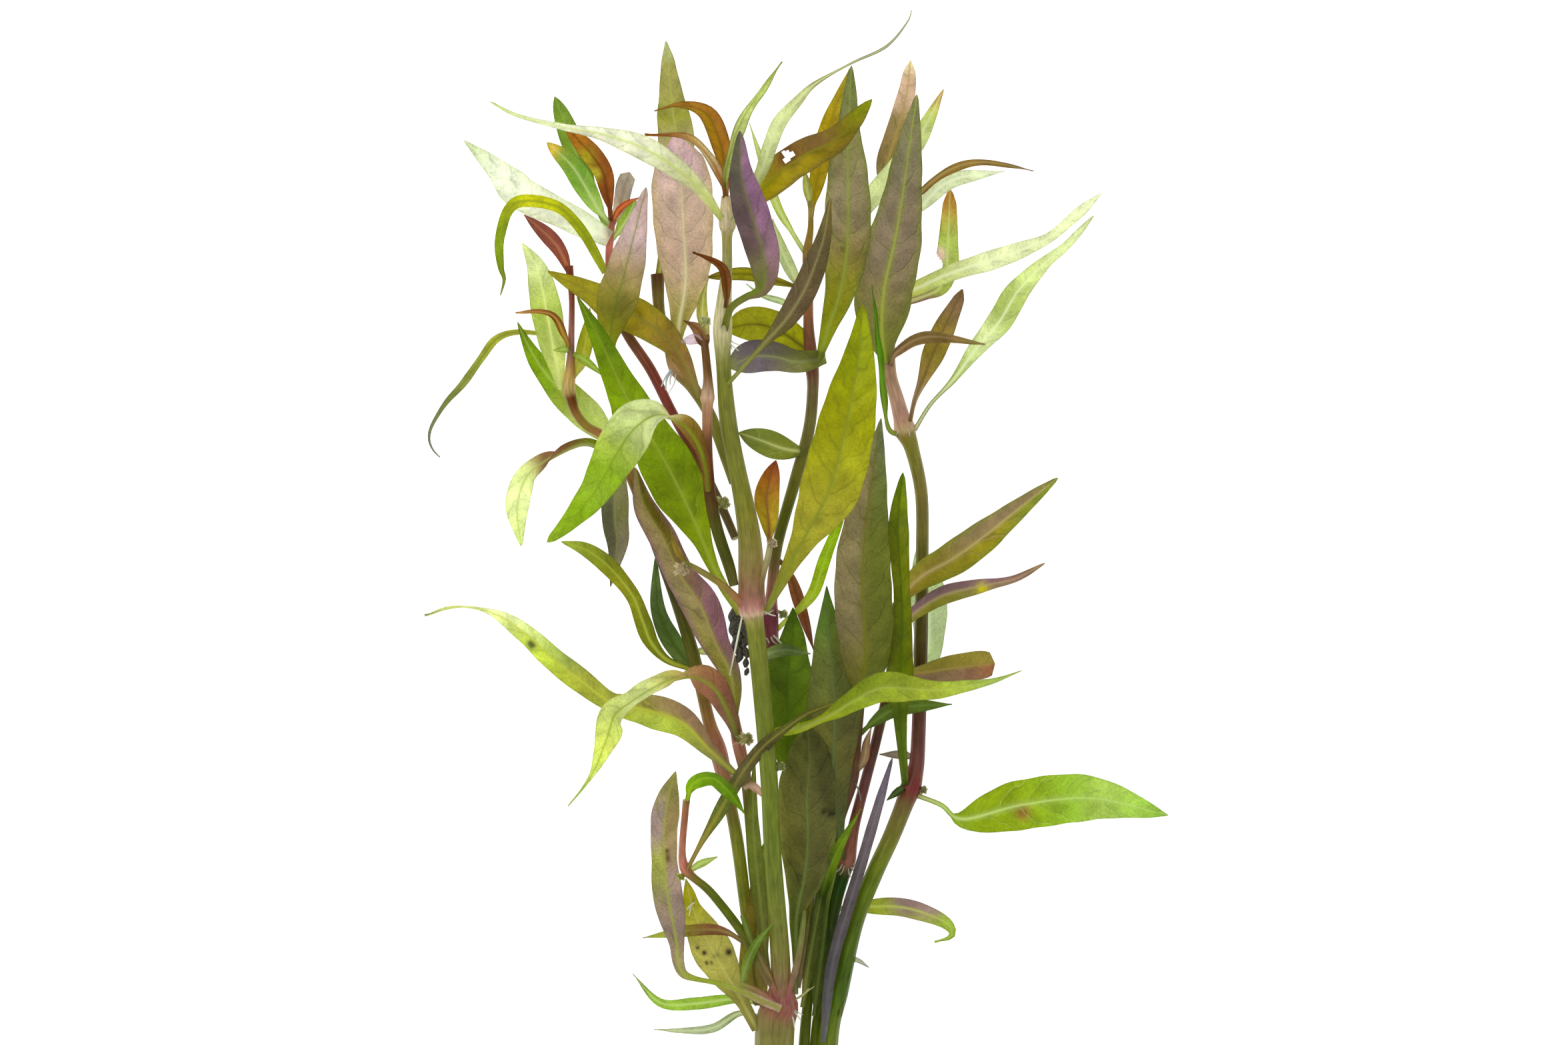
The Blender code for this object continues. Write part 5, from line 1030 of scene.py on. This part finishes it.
leaf("leaf_far_left_long", "lime", 8,
     [(-11.1, 61, 18.8), (-17.1, 66.7, 20), (-23, 72.6, 20.6), (-30.8, 75.3, 20.7),
     (-38.8, 77, 19.2), (-45.7, 81.8, 16.1), (-52.3, 86.9, 12.1), (-58.5, 92.5, 8.3),
     (-65.5, 97, 4.8, 2), (-73.7, 98.6, 2.3, 24), (-81.4, 96.7, 0.5, 60)],
     "#8A8A5E #8E8E58 #98A048 #A4B440 #B4C850 #A8B848 #9DA83A #9AA434 #9AA434 "
     "#A4B438 #B9CC4A #C4D858 #D3E484 #E0ECA8 #E0ECA8 #DCE8A0 #8A9A5A", "#B9BE4A", widths=(1.3, 2.1,
     3.6, 5.5, 7.8, 7.8, 6.2, 4.3, 4.9, 5.7, 5.2, 5.1, 4.8, 4.1, 3, 0.9, 0.6, 0.6, 0.2),
     right="#7A7A50 #8A7E58 #98805E #9A8060 #968458 #8E8A40 #94983A #A0A83C #98A038 "
     "#8FA04A #A8BC58 #D3E48C #E0ECA8 #E4EEB4 #E4EEB4 #DCE8A0 #8A9A5A", petiole=0.08,
     marks=[(-57, 90, 0.9, "#4A5A1E")])
leaf("leaf_middle_olive_strap", "olive", 3.5,
     [(-21.4, 40.1, 15.4), (-18.5, 45.6, 16.5), (-15.3, 51, 18.4), (-12.2, 56.5, 21.2),
     (-8.9, 61.9, 26), (-4.9, 66.9, 29.8), (-0.1, 70.9, 32.2), (5.1, 74.5, 30.8),
     (10.9, 76.8, 29.4)],
     "#A0705A #8A7A4A #6E7A30 #6E7A3A #74704A #7A6E4A #7A7040 #74743A #7A7A38 #8A8A34", "#A9A04A",
     roll=180, widths=(1, 1, 1.6, 2.8, 3.2, 3.1, 3.1, 2.8, 3.1, 2.1, 1.3, 1.4, 0.3), petiole=0.12)
leaf("leaf_middle_lime_cross", "lime", 7.8,
     [(-1.9, 70.4, 29), (4.5, 71.7, 30.1), (10.3, 74.3, 32.3), (15.9, 77.7, 34.3),
     (21.7, 80.5, 35.1), (28.1, 80.3, 34), (34.6, 79.9, 31.8), (41, 80.8, 29.2), (47.4, 82, 26.1),
     (53.5, 84.2, 23)],
     "#A9B830 #BCCA32 #B4C424 #A9BF2B #B4C83A #BCCE44 #B9CC48 #B4CA54 #A9C46A #A0BC60", "#C9D66A",
     widths=(1.6, 2.8, 1.8, 1.5, 3.8, 4.9, 6.3, 7, 6.1, 4.7, 4, 3, 2.2, 1.4, 0.7, 0.2),
     petiole=0.16)


# The leaves in the middle and at the foot.
# The oldest leaves: dark, thick and dull, their undersides brown-olive, with one long mauve blade
# on a pale stalk that hangs out to the left and a torn yellowing one below it.

leaf("leaf_middle_dark_green", "green", 11.1,
     [(2.3, 58.6, 14.7), (1.6, 65.2, 17.1), (1.1, 71.9, 18.9), (1, 78.5, 20.6), (1.2, 85.2, 22.3),
     (2, 91.7, 24), (2, 98.4, 25.6)],
     "#48640C #48640C #466208 #48640A #4A660C #4E6E10 #547410 #4C720E", "#4A6A14", widths=(0.9, 4.6,
     7.4, 9.6, 10.6, 11.1, 11, 9.7, 6.7, 4.1, 0.2), petiole=0.03)
leaf("leaf_middle_grey_olive", "olive", 12.2,
     [(13.5, 42.4, 13.4), (11.9, 51, 17.7), (11.2, 59.7, 20), (11.2, 68.4, 23.2),
     (11.3, 77.1, 26.4), (10.7, 85.9, 27.5), (10, 94.6, 28.2), (9.6, 103.3, 28.8)],
     "#5E6838 #5E6438 #5A5A34 #66602F #6A6636 #6A6E38 #6C7238 #56702E #4A6A20", "#6A7A4A", roll=180,
     widths=(0.6, 1.8, 4.1, 6.3, 8.5, 10.4, 12, 12.2, 10.9, 8.7, 6.1, 3.1, 0.2),
     right="#5C6640 #62683C #5A5A34 #6A6436 #5C5834 #545630 #52562E #546628 #4A6A20", petiole=0.03)
leaf("leaf_front_dark_olive", "olive", 13.4,
     [(2.7, 12, 15.1), (2.7, 20.7, 15.3), (2.9, 29.3, 16.3), (4.6, 37.8, 17.7), (5.4, 46.4, 19.3),
     (5.1, 55.1, 21.1), (5.7, 63.7, 22.8), (5.2, 72.3, 24.6)],
     "#7A6A50 #5A6A28 #566428 #5A5C2C #646030 #686434 #6C683A #6E6E36 #7A7A40", "#7A8A4A", roll=180,
     widths=(1, 1.2, 1.7, 2.6, 3.7, 7.2, 10.1, 12, 13.4, 13.4, 12.7, 11, 8, 0.3),
     right="#7A6A50 #4A5A20 #4A5420 #5E5E2C #66633A #66633A #6A683C #72723E #7A7A40",
     edge="#8A8A4A", petiole=0.2, spacing=0.8, side_cells=9, marks=[(9, 52.5, 0.6, "#2A1A10"),
     (10.8, 52, 0.6, "#2A1A10")])
leaf("leaf_low_left_mauve", "mauve", 7,
     [(-1.6, 8.2, 16.1), (-5.5, 9.9, 16.3), (-10, 12, 16.4), (-15.4, 13.7, 16), (-20, 14.6, 15.2),
     (-22.8, 15.8, 14.2), (-23.9, 18.7, 13.4), (-24.2, 22.4, 13), (-25, 27, 12.6), (-26, 32, 12.2),
     (-26.8, 38, 11.6), (-27.1, 44, 11), (-27, 50, 10), (-26, 56, 9), (-24.5, 61.3, 8)],
     "#D8C0AC #C9B49A #B9B470 #A9B84A #9AA83A #9A8A70 #9A8478 #9A8480 "
     "#948270 #8F9050 #9A9C50 #9A8480 #9A8484 #8E8458 #8A8450", "#A9B44A", roll=180, widths=(1.9,
     1.9, 1.5, 1.2, 1.1, 2.4, 3.1, 5.6, 7, 6.4, 5.7, 6.1, 6.5, 4.6, 0.3),
     right="#D8C0AC #C9B49A #B9B470 #A9B84A #9AA83A #9A8A70 #9A8478 #9A8484 "
     "#9A8480 #9A8280 #94806A #948060 #94805A #8E8458 #8A8450", petiole=0.3, spacing=0.8,
     side_cells=8, marks=[(-26.5, 43.2, 0.6, "#4A3A2A"), (-26.3, 41.6, 0.6, "#5A4030")])
leaf("leaf_low_left_yellow", "olive", 10.8,
     [(-6.5, 3.9, 10.4), (-10, 10.4, 9), (-13.8, 16.7, 8.2), (-17.3, 23.1, 7.5), (-20.4, 29.8, 7),
     (-22.2, 37, 6.4)],
     "#8A8444 #8E8A46 #9A964A #A5A44E #A8A650 #A8A650 #A0A034 #9A9A14 #9A9A20", "#B9B86A",
     widths=(2.6, 2.6, 2.8, 4.2, 6.3, 8.1, 9.3, 9, 7.7, 5.7, 3.6, 2.7, 0.2), petiole=0.03,
     spacing=0.45, side_cells=14, marks=[(-19.5, 21.5, 0.4, "#221C10"), (-18, 20.3, 0.5, "#221C10"),
     (-15.5, 19.7, 0.45, "#221C10"), (-12.5, 20.5, 0.7, "#2A2412"), (-17.5, 18, 0.4, "#3A3418"),
     (-16.4, 18.1, 0.3, "#3A3418")])
leaf("leaf_low_sheath", "olive", 6.6,
     [(-5.4, 9.6, 11.2), (-6.8, 15.4, 11.8), (-6.7, 21.5, 11.2), (-6.2, 27.5, 11.4),
     (-5.7, 33.5, 11.9), (-5.5, 39.5, 13.3), (-4.4, 45.4, 14.6)],
     "#7A6E34 #7E7A30 #84802C #8A8428 #86782A #7A6E2A #7A8414 #8A9A1A", "#5A5020", widths=(2.4, 5.5,
     6.5, 6.6, 6.4, 5.1, 4.3, 3.7, 2.5, 0.3), petiole=0.03)


# The flower heads.
# Papery cream scales packed round a short stalk, two or three millimetres across. Each head sits
# in the fork of a node, and withers there.

TURN = math.pi * (3.0 - math.sqrt(5.0))
CORE_REACH = 0.32
CORE_RADIUS = 0.34
CORE_END_RADIUS = 0.16
SCALE_WIDTH = 0.32


def flower_head(name, middle, size, scales, tint, tip):
    """A tuft of pointed scales that stand out evenly all round a small core."""
    middle = np.array(middle)
    long = np.array((0.0, CORE_REACH * size, 0.0))
    thin = CORE_END_RADIUS * size
    core = [(*(middle - long), thin, tint), (*middle, CORE_RADIUS * size, tint),
            (*(middle + long), thin, tint)]
    parts = [tube(core, ridges=5, sides=10, spacing=0.3, end=tint)]
    for k in range(scales):
        height = 1.0 - 1.8 * (k + 0.5) / scales
        flat = math.sqrt(1.0 - height**2)
        out = np.array((flat * math.cos(k * TURN), height, 0.8 * flat * math.sin(k * TURN)))
        reach = size * (0.5 + 0.14 * math.sin(5.1 * k))
        spots = [middle + out * reach * share for share in (0.3, 0.65, 1.0)]
        parts.append(blade(
            SCALE_WIDTH * size, spots, f"{tint} {tint} {tip}", tip, roll=40.0 * math.sin(3.0 * k),
            petiole=0.0, spacing=0.4, side_cells=1, cup=20.0,
        ))
    return piece(name, parts)


flower_head("flower_left_stalk", (-23, 107, 38.6), 3.4, 34, "#C9B98A", "#EADFC0")
flower_head("flower_upper_branch", (-13.7, 121.9, 37), 3.3, 34, "#A8A860", "#D8D8A4")
flower_head("flower_red_shoot", (-2.6, 112.9, 39.2), 2.4, 26, "#C9B48A", "#F0EAD8")
flower_head("flower_low_left", (-8.4, 68.8, 25.4), 3.2, 32, "#B0AC66", "#DAD6A8")
flower_head("flower_low_middle", (-0.9, 62.6, 27.4), 2.6, 28, "#8E9A50", "#C9CFA0")
flower_head("flower_middle_node", (-0.2, 96.9, 24.6), 2.4, 24, "#A9B46A", "#E4E8C4")
flower_head("flower_low_branch", (-23.2, 37.6, 14.4), 2, 22, "#A9B44A", "#D4DC8A")
flower_head("flower_right_node", (31.4, 57.2, 13), 2.2, 22, "#8A8A5A", "#BCBC8C")
flower_head("flower_top_left", (-17.6, 162.8, 37.8), 2.6, 26, "#C9CF8A", "#F2F2D8")


# The roots.
# Fine white adventitious roots, a third to half a millimetre thick, that break out of the nodes
# and hang free where the bunch is lifted.

ROOT_RADIUS = 0.15
ROOT_BOW = 0.12


def root(x0, y0, x1, y1, z, thick=1.0, shade="#DDE0CC"):
    """One root from a node to its tip, with a slight bow."""
    bow = ROOT_BOW * math.sin(3.0 * x0 + y0)
    middle_x = (x0 + x1) / 2 + bow * (y1 - y0)
    middle_y = (y0 + y1) / 2 - bow * (x1 - x0)
    wide = ROOT_RADIUS * thick
    line = [(x0, y0, z, wide, shade), (middle_x, middle_y, z + 0.3, wide, shade),
            (x1, y1, z - 0.6, 0.6 * wide, shade)]
    return tube(line, ridges=3, sides=7, spacing=0.6, end=shade)


piece("roots_main_node", [
    root(-9.3, 97, -12.2, 83.2, 34.4, 1.5), root(-4.4, 97.6, -1.9, 96.6, 34.2, 1.3),
    root(-4.2, 97, -2.4, 97.9, 34), root(-13, 160, -10.2, 156.2, 38.6, 1.2),
    root(-12.6, 160, -11.6, 156.4, 38.8), root(-12.8, 159.6, -9.8, 157.4, 38.4),
    root(1.4, 8.2, 3.8, 5.2, 12.6, 1.3), root(0.9, 7.6, 2.4, 3.4, 12.8, 1.4),
    root(1.6, 8.6, 4.2, 6.4, 12.4), root(1.2, 9, 6.8, 12.8, 12, 1.2, "#C9C890"),
    root(1.4, 9.4, 5.6, 12.4, 12.2, 1, "#DADAB4"),
])
piece("roots_middle_node", [
    root(-2.4, 92.2, 0, 89.6, 25.6, 1.4), root(-2.9, 91.8, -1.6, 90.2, 25.4),
    root(-4.4, 92, -4.8, 90.8, 24.6), root(-4, 91.6, -3.4, 90.4, 24.8),
])
piece("roots_right_nodes", [
    root(13.2, 40.4, 11.2, 38.4, 12.4, 1.2), root(13.6, 40, 12.6, 38, 12.6),
    root(15, 40, 16.6, 37.6, 12, 1.3), root(15.4, 40.6, 17.4, 39.2, 12),
    root(14.6, 39.6, 15.2, 37.4, 12.2), root(26, 138.2, 25.2, 137.2, 21.8, 1.2),
    root(28.2, 138.2, 28.4, 136.8, 21.6, 1.2), root(15.6, 59.4, 17.4, 54.8, 16, 1.2, "#8A8A84"),
])
piece("roots_left_nodes", [
    root(-25, 152, -26.6, 147.4, 30.2, 1.5, "#C5CCD0"),
    root(-25.4, 152, -27.6, 148.2, 30, 1.4, "#D0D6D8"),
    root(-24.8, 151.6, -25.6, 148.6, 30.2, 1.2, "#D8DCDC"),
    root(-24.2, 152, -26, 146.6, 30.4, 1, "#DADEDE"),
    root(-20.2, 31.8, -21.9, 30.2, 15.6, 1.2), root(-21, 31.4, -21.4, 28.8, 15.4),
    root(-9.6, 67.8, -11.6, 67.4, 24, 1.1, "#B9B08A"),
    root(-9.4, 68.4, -11.2, 69.6, 24, 1, "#B9B08A"),
])


# The silt.
# A pocket of damp dark silt and algae caught between the leaves behind the main stem. It is dull
# and crumbly, with grains of about half a millimetre.

GRAIN = 0.5
SILT = "#4C4A3C"
SILT_DRIER = "#5A584A"
GRAIN_SHADE = {"From Min": 0.1, "From Max": 0.7, "To Min": 1.7, "To Max": 0.4}

silt, tree = empty_material("damp black silt")
place = add(tree, "Attribute", attribute_name="place").outputs["Vector"]
grains = add(tree, "TexVoronoi", {"Vector": place, "Scale": 1.0 / GRAIN})
# Painted light and shade on the grains: each grain is bright in its middle and dark towards the
# gaps between grains.
ramp = add(tree, "MapRange", {"Value": grains, **GRAIN_SHADE})
shade = add(tree, "Attribute", attribute_name="upper")
painted_grain_shading = add(tree, "VectorMath", {0: shade, "Scale": ramp}, operation="SCALE")
crumbs = add(tree, "Bump", {"Height": grains, "Strength": 0.9, "Distance": 0.0005})
damp = add(tree, "BsdfPrincipled", {"Base Color": painted_grain_shading, "Roughness": 0.55, "Normal": crumbs})
add(tree, "OutputMaterial", {"Surface": damp})

clumps = [
    (-11.4, 96.4, 27, 1.7), (-10.6, 95, 27.2, 1.7), (-11.2, 93.4, 27, 1.8),
    (-10.4, 91.8, 27.2, 1.7), (-10.8, 90.2, 27, 1.5), (-10.2, 88.8, 27, 1.4),
    (-10, 87.4, 26.8, 1.2), (-9.2, 95.8, 27.4, 1.4), (-9, 93.4, 27.4, 1.4),
    (-8.8, 90.8, 27.2, 1.3), (-8.6, 88.4, 27, 1.2), (-8.6, 86, 26.8, 1), (-8.4, 84, 26.6, 0.8),
]
crumbling = []
for k, (x, y, z, wide) in enumerate(clumps):
    lean = 0.5 * math.sin(2.3 * k)
    line = [(x - lean, y - 1.1 * wide, z, 0.3 * wide, SILT_DRIER), (x, y, z, 0.75 * wide, SILT),
            (x + lean, y + 1.1 * wide, z, 0.25 * wide, SILT_DRIER)]
    crumbling.append(tube(line, ridges=5, sides=14, spacing=0.35, end=SILT))
piece("silt_pocket", crumbling, materials=[silt])


# The crowded foot.
# Straps and stalks of the stems behind, seen between the others above the cut. They are living
# leaf and stem like the rest, two to four millimetres wide, and lie low in the bunch.

piece("straps_at_the_foot", [
    blade(4, [(6.8, 6, 6.6), (8.6, 20, 8), (10.8, 34, 8.6), (13.2, 48, 8.8)],
          "#5E6E22 #48601A #4E661E #66762E", "#8A9A4A", petiole=0.02, peak=0.4),
    blade(3, [(4.2, 8, 9), (6.4, 22, 10.6), (9.2, 36, 11), (12, 46, 11)],
          "#7E7A3E #66742A #5A6E22 #6E8030", "#93A050", petiole=0.02, peak=0.4),
    blade(2.6, [(12.6, 6, 7), (14.2, 18, 7.6), (17.2, 30, 8), (19.6, 40, 8)],
          "#5A6A24 #62742A #66782A", "#8A9A4A", petiole=0.02),
])
piece("straps_behind_main", [
    blade(3.4, [(-4, 18, 13), (-5.6, 34, 17), (-7, 50, 19.6), (-6.6, 66, 21.6)],
          "#8A8A4A #6E7E2A #74842E #6E7E2A", "#98A050", petiole=0.02),
    blade(2, [(-9, 57.6, 21), (-7.4, 58.4, 22.6), (-5.2, 56.6, 23.6), (-4.4, 55, 24)],
          "#C9A890 #D0AA94 #D8B8A0", "#E4CCB4", petiole=0.02),
])


# The surface and the light.
# A smooth white tabletop lit evenly from below and above, so that a leaf is seen by the light
# that comes through it, with one soft lamp from the upper left for the faint modelling on top.

WHITE = (1.0, 1.0, 1.0, 1.0)
FLOOR_WHITE = (0.86, 0.86, 0.86, 1.0)
FLOOR_HALF = 8.0
FLOOR_GLOW = 0.85
ROOM_GLOW = 0.6
LAMP_PLACE = (-1.4, 1.2, 2.6)
LAMP_WIDTH = 1.6
LAMP_WATTS = 30.0
VIEW_WIDTH = 352.8
VIEW_MIDDLE = 117.6
DEPTH_OF_MIDDLE = 0.03
CAMERA_HEIGHT = 5.0
CAMERA_REACH = 40.0
SENSOR = 36.0

corners = [(x * FLOOR_HALF, y * FLOOR_HALF, 0.0) for x, y in ((-1, -1), (1, -1), (1, 1), (-1, 1))]
floor_mesh = bpy.data.meshes.new("tabletop")
floor_mesh.from_pydata(corners, [], [(0, 1, 2, 3)])
floor = bpy.data.objects.new("tabletop", floor_mesh)
bpy.context.scene.collection.objects.link(floor)
white, tree = empty_material("white satin laminate")
grain = add(tree, "TexNoise", {"Scale": 400.0, "Detail": 2.0})
relief = add(tree, "Bump", {"Height": grain, "Strength": 0.03, "Distance": 0.0002})
satin = add(
    tree, "BsdfPrincipled",
    {"Base Color": FLOOR_WHITE, "Roughness": 0.6, "Specular IOR Level": 0.2,
     "Emission Color": WHITE, "Emission Strength": FLOOR_GLOW, "Normal": relief},
)
add(tree, "OutputMaterial", {"Surface": satin})
floor_mesh.materials.append(white)

lamp_data = bpy.data.lights.new("soft_lamp", "AREA")
lamp_data.shape = "SQUARE"
lamp_data.size = LAMP_WIDTH
lamp_data.energy = LAMP_WATTS
lamp = bpy.data.objects.new("soft_lamp", lamp_data)
lamp.location = LAMP_PLACE
lamp_x, lamp_y, lamp_z = LAMP_PLACE
lean = math.atan2(-lamp_y, lamp_z)
swing = math.atan2(lamp_x, math.hypot(lamp_y, lamp_z))
lamp.rotation_euler = (lean, swing, 0.0)
bpy.context.scene.collection.objects.link(lamp)

world = bpy.data.worlds.new("white_room")
world.use_nodes = True
sky = world.node_tree.nodes["Background"]
sky.inputs["Color"].default_value = WHITE
sky.inputs["Strength"].default_value = ROOM_GLOW
bpy.context.scene.world = world
bpy.context.scene.view_settings.view_transform = "Standard"

camera_data = bpy.data.cameras.new("camera")
camera_data.sensor_width = SENSOR
camera_data.lens = SENSOR * (CAMERA_HEIGHT - DEPTH_OF_MIDDLE) / (VIEW_WIDTH * MM)
camera_data.clip_end = CAMERA_REACH
camera = bpy.data.objects.new("camera", camera_data)
camera.location = (-MIDDLE_X * MM, (VIEW_MIDDLE - MIDDLE_Y) * MM, CAMERA_HEIGHT)
bpy.context.scene.collection.objects.link(camera)
bpy.context.scene.camera = camera
